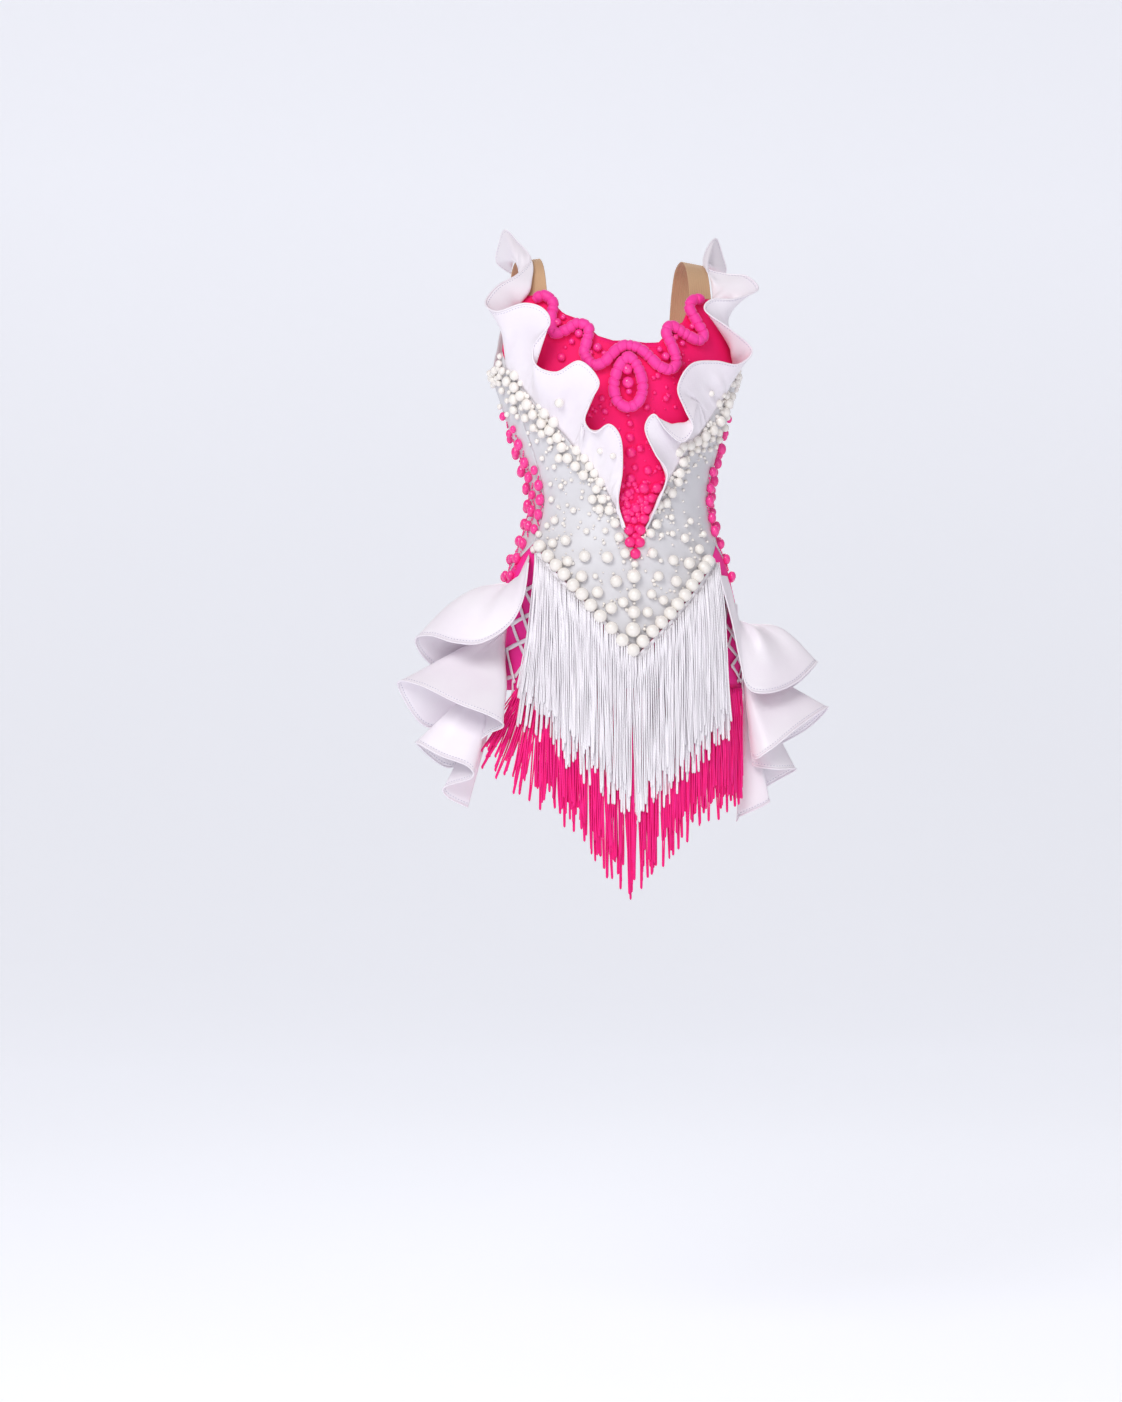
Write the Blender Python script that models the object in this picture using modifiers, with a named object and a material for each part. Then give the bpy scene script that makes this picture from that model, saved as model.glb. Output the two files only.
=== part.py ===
# Latin dance dress, kept in the shape and pose that it has when it is worn.
#
# The dress is open at the neck, the armholes and the hem. Its cloth panels are cut from one
# dress form, which a short table of sections gives, and everything sewn to a panel is made
# from the same form, moved out. The origin is midway between the tops of the two straps,
# +Z is up, the front faces -Y and the wearer's left is +X. Sizes are in millimetres.

import math

import bmesh
import bpy
from mathutils import Vector

MM = 0.001

# Walls and gaps
CLOTH = 1.6
RUFFLE_CLOTH = 1.4
SEAM_GAP = 0.45
SEAM_ANGLE_GAP = 0.25
FRONT_ANGLE_GAP = 0.1
YOKE_GAP = 0.8
REST_GAP = 0.6
RUFFLE_CLEARANCE = 2.4
RUFFLE_BESIDE_STRAP = 1.3
RUFFLE_ROWS = 4
ARMHOLE_LEVEL = -60.0

# Neckline trim: a stuffed tube, gathered on
TUBE_RADIUS = 6.5
TUBE_OUT = 7.1
LOOP_CENTRE = (22.0, -149.0)
LOOP_HALF_WIDTH = 21.5
LOOP_HALF_HEIGHT = 32.4
LOOP_TAPER = 0.45

# Straps
STRAP_INNER_ANGLE = 32.5
STRAP_OUTER_ANGLE = 45.0
STRAP_BACK_INNER = 33.5
STRAP_BACK_OUTER = 45.5
STRAP_FRONT_TOP = -48.0
STRAP_BACK_TOP = -76.0
STRAP_CLOTH = 1.5

# Side seams and the hem line of the beaded bodice
SIDE_SEAM = 66.0
BACK_SEAM = 112.0
V_CENTRE = 1.0
HEM_TIP = -493.0
HEM_RISE = 133.0
HEM_RISE_ANGLE = 60.0
HEM_BELOW_PEARLS = 5.0
YOKE_HEM = -544.0

# Pearls and oval beads, as raised in the solids. Heights are shares of a pearl's radius
PEARL_HEIGHT = 0.72
BAND_BASE = 0.9
HEM_PEARL_WIDTH = 16.0
HEM_PEARLS = 21
HEM_PEARLS_FIRST = -60.0
HEM_PEARLS_LAST = 57.0
BAND_BESIDE_SEAM = 3.2
BAND_TOP_ANGLE = 61.0
BAND_END_ANGLE = 2.5
BAND_TOP_WIDTH = 25.0
BAND_END_WIDTH = 13.0
BAND_PEARLS = 14
SIDE_BEADS_REST = 1.3
SIDE_BEADS_ANGLE = 76.0
SIDE_BEADS_LEAN = 2.0
SIDE_BEADS_TOP = -196.0
SIDE_BEADS_LENGTH = 188.0
SIDE_BEADS_WIDTH = 25.0
SIDE_BEADS = 10
COLUMN_TOP = -387.0
COLUMN_LENGTH = 83.0
COLUMN_WIDTH = 15.2
COLUMN_PEARLS = 4
COLUMN_SPACING = 0.16

# Lacing at the hips, as slim cords that stand for the flat tapes
LACE_RADIUS = 0.8
LACE_STATIONS = 4

# Fringe
STRIP_HEIGHT = 5.0
STRIP_THICK = 1.6
WHITE_STRANDS = 72
PINK_STRANDS = 58
WHITE_FLARES = (-27.0, 14.0)
PINK_FLARES = (-46.0, 3.0)
FLARE_SHARE = 0.22
STRAND_WIDTH = 0.62
STRAND_THICK = 1.5
WHITE_FRINGE_OUT = 3.4
WHITE_ROOT_BELOW_PEARLS = 10.0
PINK_ROOT_ABOVE_HEM = 6.5
WHITE_OUT = (6.0, 10.0)
PINK_OUT = (2.6, 7.0)
HIP_LEVEL = -500.0

# The front view of the tables below: a level sight line, turned to the wearer's right side
EYE_TURN = math.radians(10.0)
EYE_DISTANCE = 4500.0
EYE_ACROSS = -64.0
EYE_UP = -558.0
RIGHTWARD = Vector((math.cos(EYE_TURN), -math.sin(EYE_TURN), 0.0))
TOWARD = Vector((-math.sin(EYE_TURN), -math.cos(EYE_TURN), 0.0))

# Dress form: up, half width, depth in front, depth behind, shift to +X
SECTIONS = (
    (20.0, 176.0, 58.0, 72.0, -4.0),
    (-45.0, 172.0, 80.0, 88.0, -3.0),
    (-100.0, 167.0, 101.0, 97.0, 1.0),
    (-150.0, 157.0, 112.0, 100.0, 5.0),
    (-200.0, 143.0, 109.0, 94.0, 7.0),
    (-250.0, 126.0, 100.0, 87.0, 9.0),
    (-300.0, 115.5, 94.0, 84.0, 11.0),
    (-345.0, 123.5, 93.5, 92.0, 11.0),
    (-400.0, 144.0, 98.5, 110.0, 10.0),
    (-480.0, 157.0, 104.0, 122.0, 12.0),
    (-560.0, 156.0, 103.0, 114.0, 14.0),
)

# Seam between the pink panel and the bodice: angle from its centre, up
V_SEAM = (
    (0.0, -372.0),
    (7.5, -334.0),
    (16.0, -301.0),
    (26.0, -267.0),
    (38.0, -228.0),
    (53.0, -182.0),
    (68.0, -136.0),
)

# Neck and armhole edge of the pink panel: angle from the front, up
NECK_EDGE = (
    (-66.0, -117.0),
    (-60.0, -92.0),
    (-53.0, -64.0),
    (-45.0, -48.0),
    (-32.4, -48.0),
    (-26.0, -72.0),
    (-19.0, -80.0),
    (-12.5, -101.0),
    (-6.0, -107.0),
    (1.0, -106.0),
    (7.5, -109.0),
    (14.0, -108.0),
    (20.5, -88.0),
    (27.0, -80.0),
    (33.4, -48.0),
    (45.0, -48.0),
    (53.0, -64.0),
    (60.0, -92.0),
    (66.0, -117.0),
)

# Upper edge of the side panels, and lower edge: angle from the front, up
UNDERARM = ((66.0, -118.0), (72.0, -127.0), (80.0, -135.0), (90.0, -139.0), (112.0, -130.0))
SIDE_HEM = ((66.0, -358.0), (90.0, -398.0), (112.0, -402.0), (180.0, -404.0))

# Upper edge of the back: angle from the middle of the back, up
BACK_EDGE = (
    (0.0, -150.0),
    (20.0, -138.0),
    (32.0, -80.0),
    (33.5, -76.0),
    (51.0, -76.0),
    (58.0, -106.0),
    (68.0, -130.0),
)

# Strap over the shoulder: Y and up of its inner edge, then of its outer edge
STRAP_RISE = (
    (-50.0, -16.0, -41.0, -18.0),
    (-24.0, 2.0, -18.0, -2.0),
    (8.0, 6.0, 9.0, 2.0),
    (40.0, -4.0, 39.0, -9.0),
    (64.0, -36.0, 60.0, -40.0),
)

# Stuffed tube of the neckline, in the front view: across, up
NECK_TUBE = (
    (-102.0, -45.0),
    (-90.0, -38.0),
    (-77.0, -48.0),
    (-79.0, -67.0),
    (-76.0, -86.0),
    (-60.0, -83.0),
    (-45.0, -74.0),
    (-30.0, -80.0),
    (-32.0, -96.0),
    (-35.0, -113.0),
    (-23.0, -127.0),
    (-9.0, -123.0),
    (4.0, -110.0),
    (18.0, -102.0),
    (36.0, -106.0),
    (48.0, -115.0),
    (63.0, -129.0),
    (77.0, -133.0),
    (85.0, -123.0),
    (79.0, -102.0),
    (72.0, -86.0),
    (79.0, -77.0),
    (97.0, -88.0),
    (114.0, -96.0),
    (120.0, -88.0),
    (111.0, -70.0),
    (103.0, -54.0),
    (109.0, -44.0),
    (121.0, -44.0),
)

# Free edge of a shoulder ruffle: place along its seam from 0 behind the shoulder to 1 at the
# point of the V, then across, up and distance toward the eye in the front view
RUFFLE_RIGHT_SHOULDER = (
    (0.00, -128.0, -10.0, -26.0),
    (0.03, -146.0, 4.0, -22.0),
    (0.055, -144.0, 25.0, -12.0),
    (0.08, -136.0, 45.0, 0.0),
    (0.105, -120.0, 30.0, 22.0),
    (0.15, -103.0, 8.0, 54.0),
    (0.21, -120.0, -12.0, 80.0),
    (0.28, -146.0, -27.0, 96.0),
    (0.36, -161.0, -48.0, 112.0),
    (0.41, -146.0, -59.0, 128.0),
    (0.45, -112.0, -49.0, 142.0),
    (0.49, -87.0, -56.0, 148.0),
    (0.52, -79.0, -75.0, 146.0),
    (0.55, -99.0, -103.0, 132.0),
    (0.58, -96.0, -128.0, 128.0),
    (0.62, -70.0, -137.0, 136.0),
    (0.66, -40.0, -123.0, 150.0),
    (0.70, -16.0, -148.0, 152.0),
    (0.73, -26.0, -173.0, 143.0),
    (0.76, -34.0, -199.0, 132.0),
    (0.79, -21.0, -214.0, 130.0),
    (0.82, -2.0, -204.0, 138.0),
    (0.86, 12.0, -222.0, 136.0),
    (0.90, 14.0, -262.0, 118.0),
    (0.95, 9.0, -302.0, 105.0),
    (1.00, 15.0, -336.0, 97.0),
)
RUFFLE_LEFT_SHOULDER = (
    (0.00, 134.0, -20.0, -56.0),
    (0.03, 147.0, -8.0, -54.0),
    (0.055, 142.0, 14.0, -52.0),
    (0.08, 134.0, 34.0, -46.0),
    (0.105, 121.0, 16.0, -22.0),
    (0.14, 121.0, -3.0, 4.0),
    (0.18, 147.0, -11.0, 20.0),
    (0.22, 174.0, -14.0, 28.0),
    (0.26, 188.0, -31.0, 40.0),
    (0.30, 158.0, -43.0, 60.0),
    (0.34, 129.0, -44.0, 72.0),
    (0.37, 121.0, -58.0, 78.0),
    (0.41, 152.0, -81.0, 72.0),
    (0.45, 181.0, -108.0, 66.0),
    (0.49, 163.0, -127.0, 78.0),
    (0.53, 134.0, -123.0, 94.0),
    (0.57, 103.0, -127.0, 110.0),
    (0.61, 86.0, -156.0, 114.0),
    (0.64, 95.0, -184.0, 104.0),
    (0.67, 105.0, -208.0, 98.0),
    (0.70, 91.0, -226.0, 104.0),
    (0.73, 71.0, -211.0, 114.0),
    (0.76, 55.0, -191.0, 124.0),
    (0.79, 44.0, -209.0, 118.0),
    (0.83, 57.0, -241.0, 112.0),
    (0.88, 72.0, -266.0, 103.0),
    (0.94, 62.0, -301.0, 96.0),
    (1.00, 47.0, -334.0, 90.0),
)

# How far the middle of a ruffle stands off the line from its seam to its free edge: place along
# the seam, then distance to the wearer's left and up
RUFFLE_BELLY_RIGHT_SHOULDER = (
    (0.08, 0.0, 0.0),
    (0.20, 13.0, 0.0),
    (0.32, 11.0, 0.0),
    (0.43, 0.0, 0.0),
    (0.74, 0.0, 0.0),
    (0.79, 0.0, 18.0),
    (0.84, 0.0, 0.0),
)
RUFFLE_BELLY_LEFT_SHOULDER = (
    (0.60, 0.0, 0.0),
    (0.66, 0.0, 26.0),
    (0.71, 0.0, 24.0),
    (0.77, 0.0, 0.0),
)
FLOUNCE_BELLY_RIGHT_HIP = (
    (0.00, 0.0, 0.0),
    (0.12, 0.0, 12.0),
    (0.30, 0.0, 30.0),
    (0.42, 0.0, 22.0),
    (0.50, 0.0, 0.0),
)
FLOUNCE_BELLY_LEFT_HIP = (
    (0.05, 0.0, 0.0),
    (0.25, 0.0, 8.0),
    (0.42, 0.0, 24.0),
    (0.50, 0.0, 20.0),
    (0.57, 0.0, 0.0),
)

# Seam of a hip flounce on the dress form: angle, up
FLOUNCE_SEAM_RIGHT_HIP = ((-66.0, -373.0), (-70.0, -425.0), (-75.0, -480.0), (-78.0, -522.0))
FLOUNCE_SEAM_LEFT_HIP = ((67.0, -399.0), (71.5, -457.0), (76.0, -505.0), (80.0, -538.0))

# Hem of a hip flounce: place along its seam from the top, then across, up and distance
# toward the eye in the front view
FLOUNCE_RIGHT_HIP = (
    (0.00, -106.0, -381.0, 92.0),
    (0.10, -113.0, -427.0, 108.0),
    (0.17, -131.0, -461.0, 118.0),
    (0.23, -166.0, -483.0, 122.0),
    (0.28, -200.0, -483.0, 115.0),
    (0.33, -231.0, -474.0, 100.0),
    (0.37, -250.0, -478.0, 82.0),
    (0.41, -242.0, -499.0, 62.0),
    (0.46, -212.0, -528.0, 42.0),
    (0.50, -192.0, -560.0, 36.0),
    (0.54, -216.0, -590.0, 38.0),
    (0.57, -246.0, -584.0, 50.0),
    (0.61, -273.0, -536.0, 80.0),
    (0.64, -246.0, -537.0, 104.0),
    (0.69, -198.0, -560.0, 124.0),
    (0.74, -154.0, -577.0, 128.0),
    (0.77, -138.0, -590.0, 116.0),
    (0.80, -162.0, -603.0, 92.0),
    (0.84, -206.0, -643.0, 58.0),
    (0.88, -250.0, -611.0, 80.0),
    (0.91, -218.0, -628.0, 98.0),
    (0.94, -184.0, -641.0, 106.0),
    (0.955, -178.0, -656.0, 96.0),
    (0.97, -213.0, -668.0, 72.0),
    (0.985, -209.0, -681.0, 60.0),
    (1.00, -183.0, -694.0, 50.0),
)
FLOUNCE_LEFT_HIP = (
    (0.00, 139.0, -397.0, 46.0),
    (0.14, 155.0, -455.0, 50.0),
    (0.28, 165.0, -503.0, 54.0),
    (0.36, 176.0, -541.0, 60.0),
    (0.40, 203.0, -547.0, 57.0),
    (0.45, 237.0, -534.0, 38.0),
    (0.49, 264.0, -508.0, 10.0),
    (0.53, 246.0, -529.0, -10.0),
    (0.57, 206.0, -560.0, -20.0),
    (0.61, 182.0, -592.0, 4.0),
    (0.65, 182.0, -630.0, 44.0),
    (0.69, 204.0, -620.0, 56.0),
    (0.74, 244.0, -588.0, 38.0),
    (0.78, 278.0, -566.0, 8.0),
    (0.82, 252.0, -593.0, -10.0),
    (0.86, 206.0, -619.0, -10.0),
    (0.89, 181.0, -638.0, 20.0),
    (0.92, 210.0, -645.0, 34.0),
    (0.945, 237.0, -645.0, 12.0),
    (0.96, 212.0, -660.0, -4.0),
    (0.975, 188.0, -676.0, 0.0),
    (0.985, 202.0, -688.0, 10.0),
    (1.00, 149.0, -712.0, 20.0),
)

# Turns of the zigzag lacing on the dress form: angle, up
LACING_RIGHT_UNDER = (
    (-63.0, -414.0),
    (-50.0, -445.0),
    (-69.0, -461.0),
    (-55.5, -507.0),
    (-65.5, -526.0),
    (-74.0, -529.0),
)
LACING_RIGHT_OVER = ((-51.0, -410.0), (-66.0, -424.0), (-52.5, -479.0), (-72.5, -493.0), (-66.5, -533.0))
LACING_LEFT_UNDER = ((53.0, -424.0), (66.0, -448.0), (54.0, -487.0), (72.0, -513.0), (65.0, -533.0))
LACING_LEFT_OVER = ((58.0, -430.0), (52.0, -461.0), (69.0, -494.0), (56.0, -513.0), (68.0, -532.0))

# Tips of the fringe, in the front view: across, up
WHITE_TIPS = (
    (-120.0, -584.0),
    (-87.0, -608.0),
    (-55.0, -640.0),
    (-28.0, -663.0),
    (-3.0, -690.0),
    (27.0, -717.0),
    (51.0, -701.0),
    (74.0, -678.0),
    (95.0, -654.0),
    (118.0, -631.0),
    (142.0, -604.0),
    (170.0, -572.0),
)
PINK_TIPS = (
    (-160.0, -634.0),
    (-132.0, -663.0),
    (-105.0, -684.0),
    (-64.0, -710.0),
    (-23.0, -754.0),
    (-3.0, -776.0),
    (22.0, -799.0),
    (56.0, -763.0),
    (95.0, -731.0),
    (136.0, -699.0),
    (180.0, -675.0),
)

# Colour, roughness
SATIN = ((0.90, 0.88, 0.93), 0.42)
SILVER = ((0.66, 0.67, 0.71), 0.38)
PINK = ((1.0, 0.01, 0.24), 0.62)
TUBE_PINK = ((1.0, 0.045, 0.40), 0.6)
PEARL = ((0.88, 0.85, 0.79), 0.25)
NUDE = ((0.57, 0.32, 0.16), 0.7)


def clear_scene():
    for obj in list(bpy.data.objects):
        bpy.data.objects.remove(obj, do_unlink=True)


def material(name, finish):
    colour, roughness = finish
    made = bpy.data.materials.new(name)
    made.use_nodes = True
    shader = made.node_tree.nodes["Principled BSDF"]
    shader.inputs["Base Color"].default_value = (*colour, 1.0)
    shader.inputs["Roughness"].default_value = roughness
    return made


def collection():
    made = bpy.data.collections.new("latin_dance_dress")
    bpy.context.scene.collection.children.link(made)
    return made


def smooth_between(rows, key):
    """Row of a table at a place between its rows, on a smooth curve. The first column is the place."""
    ordered = sorted(rows)
    if key <= ordered[0][0]:
        return ordered[0][1:]
    if key >= ordered[-1][0]:
        return ordered[-1][1:]
    last = len(ordered) - 1
    index = max(i for i in range(last) if ordered[i][0] <= key)
    here, there = ordered[index], ordered[index + 1]
    before, after = ordered[max(index - 1, 0)], ordered[min(index + 2, last)]
    span = there[0] - here[0]
    t = (key - here[0]) / span
    values = []
    for column in range(1, len(here)):
        slope_here = (there[column] - before[column]) / (there[0] - before[0]) * span
        slope_there = (after[column] - here[column]) / (after[0] - here[0]) * span
        values.append(
            (2 * t**3 - 3 * t**2 + 1) * here[column]
            + (t**3 - 2 * t**2 + t) * slope_here
            + (3 * t**2 - 2 * t**3) * there[column]
            + (t**3 - t**2) * slope_there
        )
    return tuple(values)


def straight_between(rows, key):
    """Value of a two-column table at a place between its rows, on straight runs."""
    if key <= rows[0][0]:
        return rows[0][1]
    for (low, first), (high, second) in zip(rows, rows[1:]):
        if key <= high:
            return first + (second - first) * (key - low) / (high - low)
    return rows[-1][1]


def smooth_through(rows, steps):
    """Rows on a smooth curve through the given rows, with this many steps from each to the next."""
    found = []
    last = len(rows) - 1
    for index in range(last):
        a, b = rows[max(index - 1, 0)], rows[index]
        c, d = rows[index + 1], rows[min(index + 2, last)]
        for step in range(steps):
            t = step / steps
            found.append(
                tuple(
                    0.5 * (2 * q + (r - p) * t + (2 * p - 5 * q + 4 * r - s) * t**2 + (3 * q - p - 3 * r + s) * t**3)
                    for p, q, r, s in zip(a, b, c, d)
                )
            )
    found.append(tuple(rows[last]))
    return found


def evenly(points, count, size=lambda point: Vector(point)):
    """This many points spaced evenly along a run of points, by the length that size measures."""
    lengths = [0.0]
    for first, second in zip(points, points[1:]):
        lengths.append(lengths[-1] + (size(second) - size(first)).length)
    found = []
    index = 0
    for step in range(count):
        target = lengths[-1] * step / (count - 1)
        while index < len(points) - 2 and lengths[index + 1] < target:
            index += 1
        span = lengths[index + 1] - lengths[index]
        t = (target - lengths[index]) / span if span else 0.0
        found.append(tuple(p + (q - p) * t for p, q in zip(points[index], points[index + 1])))
    return found


def body(angle, up, out=0.0):
    """Point of the dress form at an angle from the front, moved out by this much."""
    width, front, behind, shift = smooth_between(SECTIONS, up)
    depth = front if math.cos(math.radians(angle)) >= 0 else behind
    turn = math.radians(angle)
    return Vector((shift + (width + out) * math.sin(turn), -(depth + out) * math.cos(turn), up))


def spread(point, out=0.0):
    """How far out a point lies from the form's axis, where 1 is on the form moved out by this much."""
    width, front, behind, shift = smooth_between(SECTIONS, point.z)
    depth = front if point.y <= 0 else behind
    return math.hypot((point.x - shift) / (width + out), point.y / (depth + out))


def onto_form(point, out):
    """The point moved straight out or in to the form moved out by this much."""
    width, front, behind, shift = smooth_between(SECTIONS, point.z)
    depth = front if point.y <= 0 else behind
    angle = math.degrees(math.atan2((point.x - shift) / width, -point.y / depth))
    return body(angle, point.z, out)


def clear_of_form(point, out):
    return onto_form(point, out) if point.z < ARMHOLE_LEVEL and spread(point, out) < 1 else point


def sight(across, up, toward=0.0):
    """Point on the sight line at this place of the front view, this far toward the eye."""
    aim = RIGHTWARD * across + Vector((0, 0, up))
    eye = RIGHTWARD * EYE_ACROSS + TOWARD * EYE_DISTANCE + Vector((0, 0, EYE_UP))
    return aim.lerp(eye, toward / EYE_DISTANCE)


def seen(across, up, out=0.0):
    """Point of the form, moved out by this much, that shows at this place of the front view."""
    nearest = 170.0
    while nearest > -40.0 and spread(sight(across, up, nearest), out) > 1:
        nearest -= 3.0
    inside, outside = nearest, nearest + 3.0
    for _ in range(18):
        middle = (inside + outside) / 2
        if spread(sight(across, up, middle), out) > 1:
            outside = middle
        else:
            inside = middle
    return onto_form(sight(across, up, outside), out)


def v_seam(angle):
    return smooth_between(V_SEAM, abs(angle - V_CENTRE))[0]


def pearl_hem(angle):
    """Height of the V line of pearls at the bodice's hem."""
    rise = math.sin(math.radians(abs(angle - V_CENTRE))) / math.sin(math.radians(HEM_RISE_ANGLE))
    return HEM_TIP + HEM_RISE * rise


def bodice_hem(angle):
    return pearl_hem(angle) - HEM_BELOW_PEARLS


def side_hem(angle):
    return straight_between(SIDE_HEM, abs(angle))


def yoke_top(angle):
    edge = bodice_hem(angle) if abs(angle) <= SIDE_SEAM else side_hem(angle)
    return edge - YOKE_GAP


def grid_mesh(name, rows):
    """Open quad grid through rows of points in millimetres."""
    shape = bmesh.new()
    corners = [[shape.verts.new(point * MM) for point in row] for row in rows]
    for upper, lower in zip(corners, corners[1:]):
        for i in range(len(upper) - 1):
            shape.faces.new((upper[i], lower[i], lower[i + 1], upper[i + 1]))
    mesh = bpy.data.meshes.new(name)
    shape.to_mesh(mesh)
    shape.free()
    return mesh


def place(home, name, mesh, look):
    for face in mesh.polygons:
        face.use_smooth = True
    mesh.materials.append(look)
    obj = bpy.data.objects.new(name, mesh)
    home.objects.link(obj)
    return obj


def cloth(home, name, rows, look, thick, offset):
    """Cloth wall: an open grid with a Solidify. Offset -1 keeps the grid as the outer face."""
    obj = place(home, name, grid_mesh(name, rows), look)
    wall = obj.modifiers.new("wall", "SOLIDIFY")
    wall.thickness = thick * MM
    wall.offset = offset
    wall.use_quality_normals = True
    return obj


def closed_wall(home, name, outer, inner, look):
    """Wall between two grids with as many rows, closed along its rim. The inner one may have fewer columns."""
    shape = bmesh.new()
    sides = []
    for grid in (outer, inner):
        verts = [[shape.verts.new(point * MM) for point in row] for row in grid]
        for upper, lower in zip(verts, verts[1:]):
            for i in range(len(upper) - 1):
                shape.faces.new((upper[i], lower[i], lower[i + 1], upper[i + 1]))
        sides.append(verts)
    out_verts, in_verts = sides
    for edge in (0, -1):
        for r in range(len(outer) - 1):
            shape.faces.new((out_verts[r][edge], out_verts[r + 1][edge], in_verts[r + 1][edge], in_verts[r][edge]))
        shape.faces.new(out_verts[edge] + in_verts[edge][::-1])
    bmesh.ops.recalc_face_normals(shape, faces=shape.faces)
    mesh = bpy.data.meshes.new(name)
    shape.to_mesh(mesh)
    shape.free()
    return place(home, name, mesh, look)


def columns_between(first, last, columns):
    """Angles of a panel's columns, one of them at the point of the V where the panel crosses it."""
    middle = V_CENTRE if first < V_CENTRE < last else (first + last) / 2
    half = columns // 2
    left = [first + (middle - first) * step / half for step in range(half)]
    return left + [middle + (last - middle) * step / half for step in range(half + 1)]


def panel(home, name, first, last, top, bottom, look, columns, rows):
    """Panel of the form between two angles, and between an upper and a lower edge."""
    grid = []
    for r in range(rows + 1):
        line = []
        for angle in columns_between(first, last, columns):
            upper, lower = top(angle), bottom(angle)
            line.append(body(angle, upper + (lower - upper) * r / rows))
        grid.append(line)
    return cloth(home, name, grid, look, CLOTH, -1.0)


def body_panels(home, silver, pink):
    seam = SIDE_SEAM - FRONT_ANGLE_GAP
    gap = SEAM_ANGLE_GAP
    panel(
        home, "v_panel", -seam, seam,
        lambda a: straight_between(NECK_EDGE, a),
        lambda a: v_seam(a) + SEAM_GAP / 2,
        pink, 20, 9,
    )
    panel(
        home, "bodice_front", -seam, seam,
        lambda a: v_seam(a) - SEAM_GAP / 2,
        bodice_hem,
        silver, 20, 11,
    )
    for side, name in ((-1, "side_panel_right"), (1, "side_panel_left")):
        ends = sorted((side * (SIDE_SEAM + gap), side * (BACK_SEAM - gap)))
        panel(
            home, name, *ends,
            lambda a: straight_between(UNDERARM, abs(a)),
            side_hem,
            silver, 4, 12,
        )
    panel(
        home, "bodice_back", BACK_SEAM + gap, 360.0 - BACK_SEAM - gap,
        lambda a: straight_between(BACK_EDGE, abs(a - 180.0)),
        lambda a: side_hem(180.0 - abs(a - 180.0)),
        silver, 14, 12,
    )
    panel(home, "hip_yoke_front", -90 + gap, 90 - gap, yoke_top, lambda a: YOKE_HEM, pink, 20, 4)
    panel(
        home, "hip_yoke_back", 90.0 + gap, 270.0 - gap,
        lambda a: side_hem(180.0 - abs(a - 180.0)) - YOKE_GAP,
        lambda a: YOKE_HEM,
        pink, 14, 4,
    )


def strap_edges(side):
    """Inner and outer edge of a strap, from the panel in front to the back."""
    ends = []
    for front, back in ((STRAP_INNER_ANGLE, STRAP_BACK_INNER), (STRAP_OUTER_ANGLE, STRAP_BACK_OUTER)):
        start = body(side * front, STRAP_FRONT_TOP + SEAM_GAP)
        end = body(180.0 - side * back, STRAP_BACK_TOP + SEAM_GAP)
        ends.append((start, end))
    edges = []
    for which, (start, end) in enumerate(ends):
        rows = [tuple(start)]
        for index, row in enumerate(STRAP_RISE):
            share = (index + 1) / (len(STRAP_RISE) + 1)
            x = start.x + (end.x - start.x) * share
            rows.append((x, row[2 * which], row[2 * which + 1]))
        rows.append(tuple(end))
        edges.append([Vector(point) for point in smooth_through(rows, 3)])
    return edges


def strap(home, name, side, look):
    inner, outer = strap_edges(side)
    rows = []
    for share in (0.0, 1 / 3, 2 / 3, 1.0):
        rows.append([a.lerp(b, share) for a, b in zip(inner, outer)])
    if side < 0:
        rows.reverse()
    return cloth(home, name, rows, look, STRAP_CLOTH, -1.0)


def ruffle_seam(side):
    """Sewn edge of a shoulder ruffle: the strap, the armhole, then the V to its point."""
    out = RUFFLE_CLOTH / 2 + REST_GAP
    _, strap_edge = strap_edges(side)
    beside = Vector((side * (out + RUFFLE_BESIDE_STRAP), 0, 0))
    path = [point + beside for point in reversed(strap_edge[1:10])]
    for angle, up in ((STRAP_OUTER_ANGLE + 0.8, -54.0), (53.0, -71.0), (59.0, -95.0), (64.0, -124.0)):
        path.append(body(side * angle, up, out))
    for step in range(9):
        angle = side * (SIDE_SEAM - 2) * (1 - step / 8) + side * 1.5
        angle = max(angle, V_CENTRE + 5.5) if side > 0 else min(angle, V_CENTRE - 5.5)
        path.append(body(angle, v_seam(angle) + 0.4, out))
    return smooth_through([tuple(point) for point in path], 4)


def ruffle(home, name, seam, edge_rows, look, columns, bulge, bellies):
    """Ruffle between its sewn edge and its free edge, which bellies a little between them."""
    seam_at = evenly(seam, 400)
    dense = []
    for place_on_seam, across, up, toward in smooth_through(edge_rows, 12):
        dense.append((min(max(place_on_seam, 0.0), 1.0), *sight(across, up, toward)))
    free = evenly(dense, columns + 1, lambda row: Vector(row[1:]))
    grid = []
    for r in range(RUFFLE_ROWS + 1):
        share = r / RUFFLE_ROWS
        line = []
        for row in free:
            start = Vector(seam_at[round(row[0] * (len(seam_at) - 1))])
            edge = Vector(row[1:])
            leftward, upward = smooth_between(bellies, row[0])
            belly = TOWARD * bulge + RIGHTWARD * leftward + Vector((0, 0, upward))
            point = start.lerp(edge, share) + belly * math.sin(math.pi * share)
            line.append(clear_of_form(point, RUFFLE_CLEARANCE) if r else start)
        grid.append(line)
    return cloth(home, name, grid, look, RUFFLE_CLOTH, 0.0)


def flounce_seam(rows):
    out = RUFFLE_CLOTH / 2 + REST_GAP
    return [tuple(body(angle, up, out)) for angle, up in smooth_through(rows, 10)]


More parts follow.
